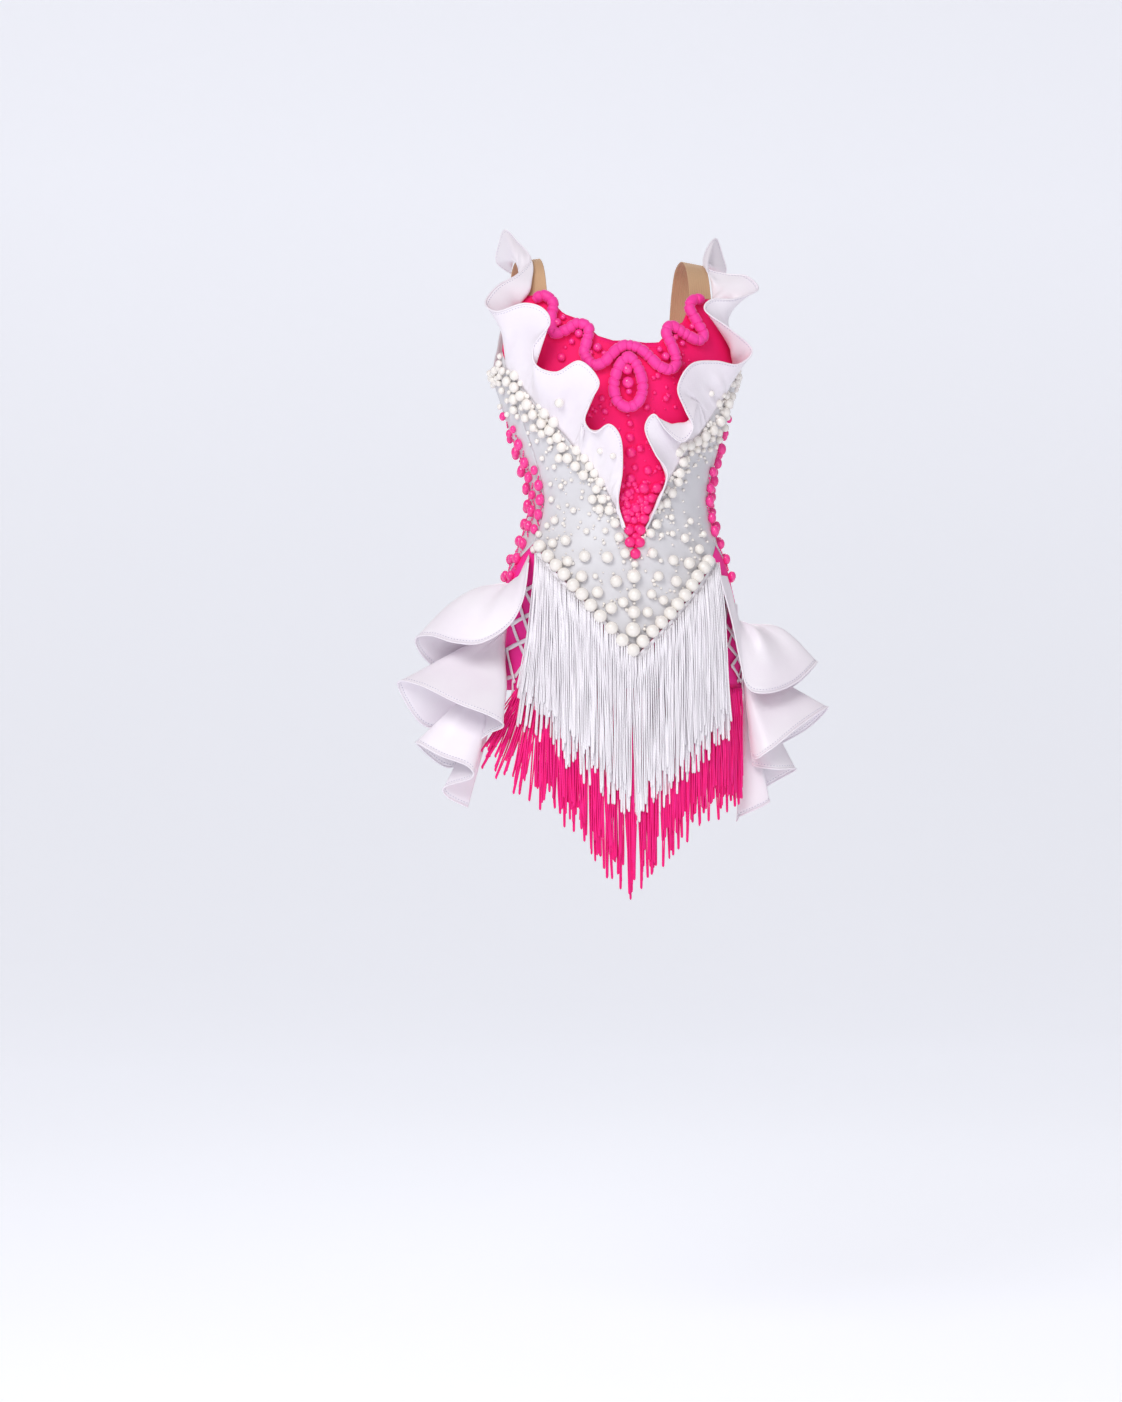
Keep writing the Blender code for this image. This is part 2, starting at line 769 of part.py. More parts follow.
def tube(home, name, points, look, cyclic, radius=TUBE_RADIUS):
    line = bpy.data.curves.new(name, "CURVE")
    line.dimensions = "3D"
    line.bevel_depth = radius * MM
    line.bevel_resolution = 1
    line.use_fill_caps = True
    spline = line.splines.new("POLY")
    spline.points.add(len(points) - 1)
    for target, point in zip(spline.points, points):
        target.co = (*(Vector(point) * MM), 1.0)
    spline.use_cyclic_u = cyclic
    line.materials.append(look)
    obj = bpy.data.objects.new(name, line)
    home.objects.link(obj)
    return obj


def neckline_trim(home, look):
    route = [tuple(seen(across, up, TUBE_OUT)) for across, up in smooth_through(NECK_TUBE, 3)]
    tube(home, "neckline_tube", evenly(route, 50), look, False)
    loop = []
    for step in range(22):
        turn = 2 * math.pi * (step + 0.5) / 22
        across = LOOP_CENTRE[0] + LOOP_HALF_WIDTH * math.sin(turn) * math.sin(turn / 2) ** LOOP_TAPER
        loop.append(seen(across, LOOP_CENTRE[1] + LOOP_HALF_HEIGHT * math.cos(turn), TUBE_OUT))
    tube(home, "neckline_drop_loop", loop, look, True)


def beaded_band(home, name, path, half_width, lanes, beads, look, gap=0.0, beside=0.0, rest=REST_GAP):
    """Narrow wall laid on the form along a path, or beside it, with beads raised in its outer points."""
    marks = (0.0, 0.3, 0.7, 1.0) if not gap else (0.0, gap, gap + 0.2, 0.8 - gap, 1.0 - gap, 1.0)
    along = [(bead + mark) / beads for bead in range(beads) for mark in marks[:-1]] + [1.0]
    fine = evenly(path, 300)
    outer, inner = [], []
    for index, place_on in enumerate(along):
        at = place_on * (len(fine) - 1)
        low = min(int(at), len(fine) - 2)
        centre = Vector(fine[low]).lerp(Vector(fine[low + 1]), at - low)
        ahead = Vector(fine[low + 1]) - Vector(fine[low])
        out_way = (onto_form(centre, 5.0) - onto_form(centre, 0.0)).normalized()
        sideways = ahead.cross(out_way).normalized()
        wide = half_width(place_on)
        radius = wide / lanes
        out_row, in_row = [], []
        for lane in range(lanes):
            for cross in (0.0, 0.3, 0.7, 1.0)[: 4 if lane == lanes - 1 else 3]:
                offset = wide * (2 * (lane + cross) / lanes - 1)
                offset += math.copysign(abs(beside) + wide, beside) if beside else 0.0
                steps = len(marks) - 1
                phase = (index + lane * (steps // 2)) % steps
                raised = cross not in (0.0, 1.0) and index not in (0, len(along) - 1)
                if gap:
                    raised = raised and marks[phase] in (gap + 0.2, 0.8 - gap)
                else:
                    raised = raised and phase != 0
                lift = PEARL_HEIGHT * radius if raised else 0.0
                spot = centre + sideways * offset
                out_row.append(onto_form(spot, rest + BAND_BASE + lift))
                in_row.append(onto_form(spot, rest))
        outer.append(out_row)
        inner.append(in_row[:: len(in_row) // 2] if lanes > 1 else [in_row[0], in_row[-1]])
    return closed_wall(home, name, outer, inner, look)


def pearls_and_beads(home, pearl, pink):
    run = HEM_PEARLS_LAST - HEM_PEARLS_FIRST
    hem = []
    for step in range(41):
        angle = HEM_PEARLS_FIRST + run * step / 40
        hem.append(tuple(body(angle, pearl_hem(angle))))
    beaded_band(home, "pearl_hem", hem, lambda t: HEM_PEARL_WIDTH / 2, 1, HEM_PEARLS, pearl)
    for side, name in ((-1, "pearl_band_right"), (1, "pearl_band_left")):
        path = []
        for step in range(31):
            angle = V_CENTRE + side * (BAND_TOP_ANGLE + (BAND_END_ANGLE - BAND_TOP_ANGLE) * step / 30)
            path.append(tuple(body(angle, v_seam(angle))))
        beaded_band(
            home, name, path,
            lambda t: (BAND_TOP_WIDTH + (BAND_END_WIDTH - BAND_TOP_WIDTH) * t) / 2,
            2, BAND_PEARLS, pearl, beside=-side * BAND_BESIDE_SEAM,
        )
    for side, name in ((-1, "side_beads_right"), (1, "side_beads_left")):
        path = []
        for step in range(21):
            angle = side * (SIDE_BEADS_ANGLE + SIDE_BEADS_LEAN * step / 20)
            path.append(tuple(body(angle, SIDE_BEADS_TOP - SIDE_BEADS_LENGTH * step / 20)))
        beaded_band(
            home, name, path, lambda t: SIDE_BEADS_WIDTH / 2, 2, SIDE_BEADS, pink, rest=SIDE_BEADS_REST,
        )
    column = [tuple(body(V_CENTRE, COLUMN_TOP - COLUMN_LENGTH * step / 20)) for step in range(21)]
    beaded_band(
        home, "pearl_column", column, lambda t: COLUMN_WIDTH / 2, 1, COLUMN_PEARLS, pearl, gap=COLUMN_SPACING,
    )


def lacing(home, name, turns, look, lifted):
    """One zigzag cord across a hip, under or over the other one."""
    out = REST_GAP + LACE_RADIUS + (2 * LACE_RADIUS + SEAM_GAP) * lifted
    path = []
    for (a, b), (c, d) in zip(turns, turns[1:]):
        for step in range(LACE_STATIONS):
            share = step / LACE_STATIONS
            path.append(body(a + (c - a) * share, b + (d - b) * share, out))
    path.append(body(*turns[-1], out))
    tube(home, name, path, look, False, LACE_RADIUS)


def hung(root, up, sway, out):
    """Where a strand from this root hangs at a height, pushed forward by the form behind it."""
    width, front, _, shift = smooth_between(SECTIONS, max(up, HIP_LEVEL))
    x = root.x + sway
    share = min(abs(x - shift) / (width + out), 0.98)
    behind = -(front + out) * math.sqrt(1 - share**2)
    return Vector((x, min(root.y - 1.0, behind), up))


def fringe(home, name, strands, first, last, top, tips, out, hang_out, look, flares):
    """Backing strip on the form with strands that grow from its lower edge and hang apart."""
    shape = bmesh.new()
    stations = []
    for step in range(strands + 1):
        angle = first + (last - first) * step / strands
        ring = []
        for up, layer in ((top(angle), out + STRIP_THICK), (top(angle) - STRIP_HEIGHT, out + STRIP_THICK),
                          (top(angle) - STRIP_HEIGHT, out), (top(angle), out)):
            ring.append(shape.verts.new(body(angle, up, layer) * MM))
        stations.append(ring)
    hanging = []
    for left, right in zip(stations, stations[1:]):
        shape.faces.new((left[0], left[1], right[1], right[0]))
        shape.faces.new((left[2], left[3], right[3], right[2]))
        shape.faces.new((left[3], left[0], right[0], right[3]))
        hanging.append(shape.faces.new((left[1], left[2], right[2], right[1])))
    shape.faces.new(stations[0])
    shape.faces.new(reversed(stations[-1]))
    bmesh.ops.recalc_face_normals(shape, faces=shape.faces)
    for index, face in enumerate(hanging):
        angle = first + (last - first) * (index + 0.5) / strands
        root = face.calc_center_median() / MM
        flow = 1.2 * math.sin(index * 2.3) + 0.8 * math.sin(index * 1.1)
        share_in = (index + 0.5) / strands
        flow += flares[0] * max(0.0, 1 - share_in / FLARE_SHARE) ** 1.5
        flow += flares[1] * max(0.0, 1 - (1 - share_in) / FLARE_SHARE) ** 1.5
        across = root.dot(RIGHTWARD)
        length = root.z - straight_between(tips, across + flow * 0.9) + 4.0 * math.sin(index * 1.7)
        ahead = (body(angle + 0.5, root.z) - body(angle - 0.5, root.z)).normalized()
        out_way = Vector((ahead.y, -ahead.x, 0))
        width = (stations[index][1].co - stations[index + 1][1].co).xy.length / MM
        half = Vector((STRAND_WIDTH * width, STRAND_THICK)) / 2
        for share, layer, sway in ((0.05, out + hang_out[0], 0.0), (1.0, out + hang_out[1], flow)):
            face = bmesh.ops.extrude_discrete_faces(shape, faces=[face])["faces"][0]
            middle = hung(root, root.z - length * share, sway, layer)
            centre = face.calc_center_median() / MM
            for vert in face.verts:
                corner = vert.co / MM - centre
                beside = math.copysign(half.x, corner.dot(ahead))
                deep = math.copysign(half.y, corner.dot(out_way))
                vert.co = (middle + ahead * beside + out_way * deep) * MM
    mesh = bpy.data.meshes.new(name)
    shape.to_mesh(mesh)
    shape.free()
    return place(home, name, mesh, look)


def fringes(home, white, pink):
    fringe(
        home, "fringe_white", WHITE_STRANDS, -58.0, 53.0,
        lambda a: pearl_hem(a) - WHITE_ROOT_BELOW_PEARLS, WHITE_TIPS,
        WHITE_FRINGE_OUT, WHITE_OUT, white, WHITE_FLARES,
    )
    fringe(
        home, "fringe_pink", PINK_STRANDS, -64.0, 64.0,
        lambda a: YOKE_HEM + PINK_ROOT_ABOVE_HEM, PINK_TIPS,
        REST_GAP, PINK_OUT, pink, PINK_FLARES,
    )


def main():
    clear_scene()
    home = collection()
    satin = material("white_satin", SATIN)
    silver = material("silver_cloth", SILVER)
    pink = material("hot_pink_cloth", PINK)
    tube_pink = material("pink_tube", TUBE_PINK)
    pearl = material("pearl", PEARL)
    nude = material("nude_elastic", NUDE)
    body_panels(home, silver, pink)
    strap(home, "strap_right", -1, nude)
    strap(home, "strap_left", 1, nude)
    ruffle(
        home, "shoulder_ruffle_right", ruffle_seam(-1), RUFFLE_RIGHT_SHOULDER, satin, 54, 5.0,
        RUFFLE_BELLY_RIGHT_SHOULDER,
    )
    ruffle(
        home, "shoulder_ruffle_left", ruffle_seam(1), RUFFLE_LEFT_SHOULDER, satin, 58, 5.0,
        RUFFLE_BELLY_LEFT_SHOULDER,
    )
    ruffle(
        home, "hip_flounce_right", flounce_seam(FLOUNCE_SEAM_RIGHT_HIP), FLOUNCE_RIGHT_HIP, satin, 54, 4.0,
        FLOUNCE_BELLY_RIGHT_HIP,
    )
    ruffle(
        home, "hip_flounce_left", flounce_seam(FLOUNCE_SEAM_LEFT_HIP), FLOUNCE_LEFT_HIP, satin, 50, 4.0,
        FLOUNCE_BELLY_LEFT_HIP,
    )
    neckline_trim(home, tube_pink)
    pearls_and_beads(home, pearl, tube_pink)
    lacing(home, "lacing_right_under", LACING_RIGHT_UNDER, satin, 0)
    lacing(home, "lacing_right_over", LACING_RIGHT_OVER, satin, 1)
    lacing(home, "lacing_left_under", LACING_LEFT_UNDER, satin, 0)
    lacing(home, "lacing_left_over", LACING_LEFT_OVER, satin, 1)
    fringes(home, satin, pink)


main()
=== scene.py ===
# Latin dance dress: satin, stretch cloth, pearls and fringe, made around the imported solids.
# Tables are in millimetres, meshes in metres. "right" and "left" are the wearer's.

import math
import random

import bpy
import numpy as np
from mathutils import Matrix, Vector, noise


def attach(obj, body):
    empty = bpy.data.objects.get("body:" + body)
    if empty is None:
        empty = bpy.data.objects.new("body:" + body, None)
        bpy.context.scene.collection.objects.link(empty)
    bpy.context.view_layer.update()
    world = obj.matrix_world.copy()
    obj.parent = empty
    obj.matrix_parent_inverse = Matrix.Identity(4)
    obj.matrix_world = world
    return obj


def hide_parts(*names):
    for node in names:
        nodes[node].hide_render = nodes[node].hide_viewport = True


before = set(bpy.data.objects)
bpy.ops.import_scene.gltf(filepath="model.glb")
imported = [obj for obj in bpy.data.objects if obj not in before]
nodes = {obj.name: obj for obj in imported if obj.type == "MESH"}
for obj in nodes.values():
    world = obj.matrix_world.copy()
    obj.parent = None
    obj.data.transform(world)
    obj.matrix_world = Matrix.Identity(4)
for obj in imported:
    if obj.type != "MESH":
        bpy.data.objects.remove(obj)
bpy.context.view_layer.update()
mm = 0.001
print("frame:", len(nodes), "nodes")

# Camera: level, turned a little to the wearer's right side

view = {
    "turn": 10.0,
    "distance": 4500.0,
    "across": -64.0,
    "up": -558.0,
    "lens": 90.2,
    "sensor": 36.0,
}
turn = math.radians(view["turn"])
rightward = Vector((math.cos(turn), -math.sin(turn), 0.0))
toward = Vector((-math.sin(turn), -math.cos(turn), 0.0))
eye = rightward * view["across"] + toward * view["distance"] + Vector((0, 0, view["up"]))


def makeCamera():
    lens = bpy.data.cameras.new("front_camera")
    lens.lens = view["lens"]
    lens.sensor_width = view["sensor"]
    camera = bpy.data.objects.new("front_camera", lens)
    camera.location = eye * mm
    camera.rotation_euler = (math.radians(90), 0, -turn)
    bpy.context.scene.collection.objects.link(camera)
    bpy.context.scene.camera = camera


makeCamera()

# Dress form: up, half width, depth in front, depth behind, shift to +X

sections = (
    (20, 176, 58, 72, -4),
    (-45, 172, 80, 88, -3),
    (-100, 167, 101, 97, 1),
    (-150, 157, 112, 100, 5),
    (-200, 143, 109, 94, 7),
    (-250, 126, 100, 87, 9),
    (-300, 115.5, 94, 84, 11),
    (-345, 123.5, 93.5, 92, 11),
    (-400, 144, 98.5, 110, 10),
    (-480, 157, 104, 122, 12),
    (-560, 156, 103, 114, 14),
)


def smoothBetween(rows, key):
    ordered = sorted(rows)
    if key <= ordered[0][0]:
        return ordered[0][1:]
    if key >= ordered[-1][0]:
        return ordered[-1][1:]
    last = len(ordered) - 1
    index = max(i for i in range(last) if ordered[i][0] <= key)
    here, there = ordered[index], ordered[index + 1]
    before, after = ordered[max(index - 1, 0)], ordered[min(index + 2, last)]
    span = there[0] - here[0]
    t = (key - here[0]) / span
    values = []
    for column in range(1, len(here)):
        slopeHere = (there[column] - before[column]) / (there[0] - before[0]) * span
        slopeThere = (after[column] - here[column]) / (after[0] - here[0]) * span
        values.append(
            (2 * t**3 - 3 * t**2 + 1) * here[column]
            + (t**3 - 2 * t**2 + t) * slopeHere
            + (3 * t**2 - 2 * t**3) * there[column]
            + (t**3 - t**2) * slopeThere
        )
    return tuple(values)


def straightBetween(rows, key):
    if key <= rows[0][0]:
        return rows[0][1]
    for (low, first), (high, second) in zip(rows, rows[1:]):
        if key <= high:
            return first + (second - first) * (key - low) / (high - low)
    return rows[-1][1]


def smoothThrough(rows, steps):
    found = []
    last = len(rows) - 1
    for index in range(last):
        a, b = rows[max(index - 1, 0)], rows[index]
        c, d = rows[index + 1], rows[min(index + 2, last)]
        for step in range(steps):
            t = step / steps
            found.append(
                tuple(
                    0.5 * (2 * q + (r - p) * t + (2 * p - 5 * q + 4 * r - s) * t**2
                           + (3 * q - p - 3 * r + s) * t**3)
                    for p, q, r, s in zip(a, b, c, d)
                )
            )
    found.append(tuple(rows[last]))
    return found


def evenly(points, count, skip=0):  # points spaced evenly by the length of their last columns
    table = np.array(points, float)
    lengths = np.concatenate([[0], np.cumsum(np.linalg.norm(np.diff(table[:, skip:], axis=0), axis=1))])
    wanted = np.linspace(0, lengths[-1], count)
    return np.stack([np.interp(wanted, lengths, column) for column in table.T], axis=1)


def runLength(points):
    return float(np.linalg.norm(np.diff(np.array(points, float), axis=0), axis=1).sum())


def form(angle, up, out=0.0):  # point of the dress form, moved out
    width, front, behind, shift = smoothBetween(sections, up)
    around = math.radians(angle)
    depth = front if math.cos(around) >= 0 else behind
    return Vector((shift + (width + out) * math.sin(around), -(depth + out) * math.cos(around), up))


def spread(point, out=0.0):
    width, front, behind, shift = smoothBetween(sections, point.z)
    depth = front if point.y <= 0 else behind
    return math.hypot((point.x - shift) / (width + out), point.y / (depth + out))


def ontoForm(point, out):
    width, front, behind, shift = smoothBetween(sections, point.z)
    depth = front if point.y <= 0 else behind
    angle = math.degrees(math.atan2((point.x - shift) / width, -point.y / depth))
    return form(angle, point.z, out)


levels = {"armhole": -60.0}  # above it a ruffle stands over an open armhole
pixel = {"x": 611.0, "y": 265.0, "size": 1.28}  # where the origin shows, and one pixel in mm
search = {"nearest": 170.0, "farthest": -40.0, "step": 3.0, "halvings": 12}  # along a sight line


def clearOfForm(point, out):
    return ontoForm(point, out) if point.z < levels["armhole"] and spread(point, out) < 1 else point


def sight(across, up, near=0.0):  # point on the sight line at this place of the front view
    aim = rightward * across + Vector((0, 0, up))
    return aim.lerp(eye, near / view["distance"])


def seen(across, up, out=0.0):  # point of the form that shows at this place of the front view
    nearest = search["nearest"]
    while nearest > search["farthest"] and spread(sight(across, up, nearest), out) > 1:
        nearest -= search["step"]
    inside, outside = nearest, nearest + search["step"]
    for _ in range(search["halvings"]):
        middle = (inside + outside) / 2
        if spread(sight(across, up, middle), out) > 1:
            outside = middle
        else:
            inside = middle
    return ontoForm(sight(across, up, outside), out)


def fromPixel(px, py):  # a place named in the photograph's frame of 1122 by 1402
    return (px - pixel["x"]) * pixel["size"], (pixel["y"] - py) * pixel["size"]


def outOf(point):
    return (ontoForm(point, 5.0) - ontoForm(point, 0.0)).normalized()


# Seam lines that the panels share: angle from the front, up

seams = {
    "side": 66.0,
    "back": 112.0,
    "centre": 1.0,
    "hemTip": -493.0,
    "hemRise": 133.0,
    "hemRiseAngle": 60.0,
    "belowPearls": 5.0,
    "yokeHem": -544.0,
    "v": ((0, -372), (7.5, -334), (16, -301), (26, -267), (38, -228), (53, -182), (68, -136)),
    "neck": (
        (-66, -117), (-60, -92), (-53, -64), (-45, -48), (-32.4, -48), (-26, -72), (-19, -80),
        (-12.5, -101), (-6, -107), (1, -106), (7.5, -109), (14, -108), (20.5, -88), (27, -80),
        (33.4, -48), (45, -48), (53, -64), (60, -92), (66, -117),
    ),
    "underarm": ((66, -118), (72, -127), (80, -135), (90, -139), (112, -130)),
    "sideHem": ((66, -358), (90, -398), (112, -402), (180, -404)),
    "backEdge": ((0, -150), (20, -138), (32, -80), (33.5, -76), (51, -76), (58, -106), (68, -130)),
    "gap": 0.2,  # left between two panels, in degrees or mm
}


def vSeam(angle):
    return smoothBetween(seams["v"], abs(angle - seams["centre"]))[0]


def pearlHem(angle):
    rise = math.sin(math.radians(abs(angle - seams["centre"])))
    return seams["hemTip"] + seams["hemRise"] * rise / math.sin(math.radians(seams["hemRiseAngle"]))


def bodiceHem(angle):
    return pearlHem(angle) - seams["belowPearls"]


def sideHem(angle):
    return straightBetween(seams["sideHem"], abs(angle))


def yokeTop(angle):
    return (bodiceHem(angle) if abs(angle) <= seams["side"] else sideHem(angle)) - 0.8


# Shader maths: a socket that reads like a number


class Socket:
    def __init__(self, tree, source):
        self.tree = tree
        self.source = source

    def make(self, kind, settings=None, inputs=None, output=0):
        made = self.tree.nodes.new(kind)
        for key, value in (settings or {}).items():
            setattr(made, key, value)
        for key, value in (inputs or {}).items():
            if isinstance(value, Socket):
                self.tree.links.new(value.source, made.inputs[key])
            else:
                made.inputs[key].default_value = value
        return Socket(self.tree, made.outputs[output])

    def maths(self, operation, other):
        return self.make("ShaderNodeMath", {"operation": operation}, {0: self, 1: other})

    def __add__(self, other):
        return self.maths("ADD", other)

    def __mul__(self, other):
        return self.maths("MULTIPLY", other)

    def __sub__(self, other):
        return self.maths("SUBTRACT", other)

    def blend(self, first, second):  # this socket as the share of the second colour
        settings = {"data_type": "RGBA"}
        return self.make("ShaderNodeMix", settings, {0: self, 6: first, 7: second}, 2)

    def stretch(self, scale):
        return self.make("ShaderNodeVectorMath", {"operation": "MULTIPLY"}, {0: self, 1: scale})

    def cloud(self, scale, detail=2.0):
        return self.make("ShaderNodeTexNoise", None, {"Vector": self, "Scale": scale, "Detail": detail})

    def wave(self, direction, scale, distortion=0.0):
        inputs = {"Vector": self, "Scale": scale, "Distortion": distortion}
        return self.make("ShaderNodeTexWave", {"bands_direction": direction}, inputs, 1)

    def bump(self, distance, strength, **beneath):  # this socket as a height
        inputs = {"Height": self, "Distance": distance, "Strength": strength, **beneath}
        return self.make("ShaderNodeBump", None, inputs)


def rgb(colour):
    return (*colour, 1.0)


def emptyMaterial(name):
    made = bpy.data.materials.new(name)
    made.use_nodes = True
    tree = made.node_tree
    shader = tree.nodes["Principled BSDF"]
    start = Socket(tree, None)
    place = start.make("ShaderNodeTexCoord", output=3)
    return made, tree, shader, place


def feed(tree, shader, links, fixed):
    for name, value in links.items():
        tree.links.new(value.source, shader.inputs[name])
    for name, value in fixed.items():
        shader.inputs[name].default_value = value


# Cloth finishes. Colours are linear, sizes in metres. Each finish has a lit and a shaded colour, painted
# light and shade that noise mixes in soft patches

finishes = {
    # the satin's pink-lavender shaded colour is painted shade with a painted reflection of the pink cloth
    "white_satin": {
        "light": (0.93, 0.89, 0.93), "shade": (0.85, 0.76, 0.85), "rough": (0.26, 0.42),
        "sheen": 0.15, "weave": 0.0011, "weaveDepth": 0.00004, "soft": 0.0005,
    },
    "silver_cloth": {
        "light": (0.75, 0.74, 0.77), "shade": (0.62, 0.61, 0.64), "rough": (0.32, 0.46),
        "sheen": 0.2, "weave": 0.0008, "weaveDepth": 0.00003, "soft": 0.0004,
    },
    "hot_pink_cloth": {
        "light": (1.0, 0.003, 0.18), "shade": (0.90, 0.001, 0.12), "rough": (0.66, 0.84),
        "sheen": 0.0, "weave": 0.0010, "weaveDepth": 0.00006, "soft": 0.0004,
    },
    # the hot pink cloth made lighter for the hip yoke: painted light where the flounces shade it
    "hip_pink": {
        "light": (1.0, 0.030, 0.37), "shade": (1.0, 0.014, 0.27), "rough": (0.60, 0.78),
        "sheen": 0.0, "weave": 0.0010, "weaveDepth": 0.00006, "soft": 0.0004,
    },
    "tube_pink": {
        "light": (1.0, 0.055, 0.42), "shade": (0.95, 0.02, 0.28), "rough": (0.45, 0.62),
        "sheen": 0.3, "weave": 0.0010, "weaveDepth": 0.00006, "soft": 0.0005,
    },
    "nude_elastic": {
        "light": (0.66, 0.42, 0.25), "shade": (0.56, 0.34, 0.19), "rough": (0.65, 0.80),
        "sheen": 0.1, "weave": 0.0016, "weaveDepth": 0.00010, "soft": 0.0003,
    },
    "seam_thread": {
        "light": (0.60, 0.56, 0.68), "shade": (0.50, 0.46, 0.60), "rough": (0.5, 0.6),
        "sheen": 0.0, "weave": 0.0006, "weaveDepth": 0.00003, "soft": 0.0001,
    },
    "white_tape": {
        "light": (0.97, 0.92, 0.95), "shade": (0.90, 0.82, 0.90), "rough": (0.50, 0.65),
        "sheen": 0.1, "weave": 0.0009, "weaveDepth": 0.00006, "soft": 0.0001,
    },
}
clothPattern = {
    "broad": (22.0, 3.0),  # scale and detail of the soft unevenness, which mixes the painted light and shade and sets roughness and folds
    "fine": (900.0, 1.0),
    "warp": 6.3,  # threads in a metre, over the wave's scale
    "weft": 9.0,
    "distortion": 0.4,
    "foldStrength": 0.6,
    "weaveStrength": 0.7,
}


def clothMaterial(name):
    look, pattern = finishes[name], clothPattern
    made, tree, shader, place = emptyMaterial(name)
    broad = place.cloud(*pattern["broad"])
    fine = place.cloud(*pattern["fine"])
    threads = 1.0 / look["weave"]
    warp = place.wave("Z", threads / pattern["warp"], pattern["distortion"])
    weft = place.wave("DIAGONAL", threads / pattern["weft"])
    weave = warp * 0.6 + weft * 0.4
    # painted light and shade: the soft noise mixes the lit colour with the shaded one in patches
    share = (broad * 1.4 - 0.35) * 0.7 + fine * 0.2
    share = share.make("ShaderNodeClamp", None, {0: share})
    low, high = look["rough"]
    colour = share.blend(rgb(look["light"]), rgb(look["shade"]))
    rough = broad * (high - low) + low + fine * 0.04
    folds = broad.bump(look["soft"], pattern["foldStrength"])
    bump = weave.bump(look["weaveDepth"], pattern["weaveStrength"], Normal=folds)
    feed(
        tree, shader,
        {"Base Color": colour, "Roughness": rough, "Normal": bump},
        {"Sheen Weight": look["sheen"], "Sheen Roughness": 0.4, "Specular IOR Level": 0.45},
    )
    return made


# Bead looks: a lit and a shaded colour each, painted light and shade
beadLooks = {
    "pearl": {"light": (0.96, 0.93, 0.87), "shade": (0.87, 0.81, 0.77), "rough": 0.20, "coat": 0.45},
    "pink_bead": {"light": (1.0, 0.06, 0.38), "shade": (1.0, 0.02, 0.26), "rough": 0.24, "coat": 0.5},
    "pink_dome": {"light": (1.0, 0.030, 0.28), "shade": (1.0, 0.008, 0.19), "rough": 0.36, "coat": 0.2},
}


def beadMaterial(name):
    look = beadLooks[name]
    made, tree, shader, place = emptyMaterial(name)
    shadeNoise = place.cloud(120.0, 1.0)
    skin = place.cloud(700.0, 2.0)
    # painted light and shade: the noise mixes the lit colour with the shaded one
    colour = shadeNoise.blend(rgb(look["light"]), rgb(look["shade"]))
    rough = skin * 0.12 + (look["rough"] - 0.04)
    bump = skin.bump(0.00006, 0.5)
    feed(
        tree, shader,
        {"Base Color": colour, "Roughness": rough, "Normal": bump},
        {"Coat Weight": look["coat"], "Coat Roughness": 0.12},
    )
    return made


# Fringe strands: a lit and a shaded colour each, painted light and shade
strandLooks = {
    "white_fringe": {"light": (0.99, 0.97, 1.0), "shade": (0.94, 0.89, 0.95)},
    "pink_fringe": {"light": (1.0, 0.018, 0.32), "shade": (1.0, 0.003, 0.17)},
}


def strandMaterial(name):
    look = strandLooks[name]
    made, tree, shader, place = emptyMaterial(name)
    lengthwise = place.stretch((900.0, 900.0, 40.0))
    shadeNoise = lengthwise.cloud(1.0, 1.0)
    twist = place.wave("DIAGONAL", 160.0, 1.0)
    # painted light and shade: lengthwise streaks and the twist's bands mix the lit colour with the shaded
    # one; the streaks also set roughness
    colour = (shadeNoise * 0.9 + twist * 0.25 - 0.2).blend(rgb(look["light"]), rgb(look["shade"]))
    bump = twist.bump(0.0003, 0.7)
    rough = shadeNoise * 0.2 + 0.40
    feed(
        tree, shader,
        {"Base Color": colour, "Roughness": rough, "Normal": bump},
        {"Specular IOR Level": 0.35},
    )
    return made


looks = {name: clothMaterial(name) for name in finishes}
looks.update({name: beadMaterial(name) for name in beadLooks})
looks.update({name: strandMaterial(name) for name in strandLooks})
print("materials:", len(looks))

# Meshes


def addMesh(name, points, faces, look):
    replaced = (name,) if name in nodes else ()
    if replaced:  # the piece that stands for a solid has a name of its own
        name += "_finished"
    mesh = bpy.data.meshes.new(name)
    mesh.from_pydata((np.array(points) * mm).tolist(), [], faces)
    mesh.shade_smooth()
    mesh.materials.append(looks[look])
    made = bpy.data.objects.new(name, mesh)
    bpy.context.scene.collection.objects.link(made)
    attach(made, "root")
    if replaced:
        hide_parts(*replaced)
    return made


def areaOf(made):
    return round(sum(face.area for face in made.data.polygons), 4)


def gridFaces(rows, columns, start=0, ring=False):
    faces = []
    for r in range(rows - 1):
        for c in range(columns if ring else columns - 1):
            a = start + r * columns + c
            b = start + r * columns + (c + 1) % columns
            faces.append((a, a + columns, b + columns, b))
    return faces


def shell(made, thick, offset=-1.0):
    wall = made.modifiers.new("cloth", "SOLIDIFY")
    wall.thickness = thick * mm
    wall.offset = offset
    return made


def framesAlong(path):  # tangents and a side direction that never twists suddenly
    path = np.array(path, float)
    ahead = np.gradient(path, axis=0)
    ahead /= np.linalg.norm(ahead, axis=1)[:, None] + 1e-12
    side = np.cross(ahead[0], (0.0, 0.0, 1.0))
    if np.linalg.norm(side) < 0.1:
        side = np.cross(ahead[0], (0.0, 1.0, 0.0))
    sides = []
    for direction in ahead:
        side = side - direction * np.dot(side, direction)
        side = side / np.linalg.norm(side)
        sides.append(side)
    return ahead, np.array(sides)


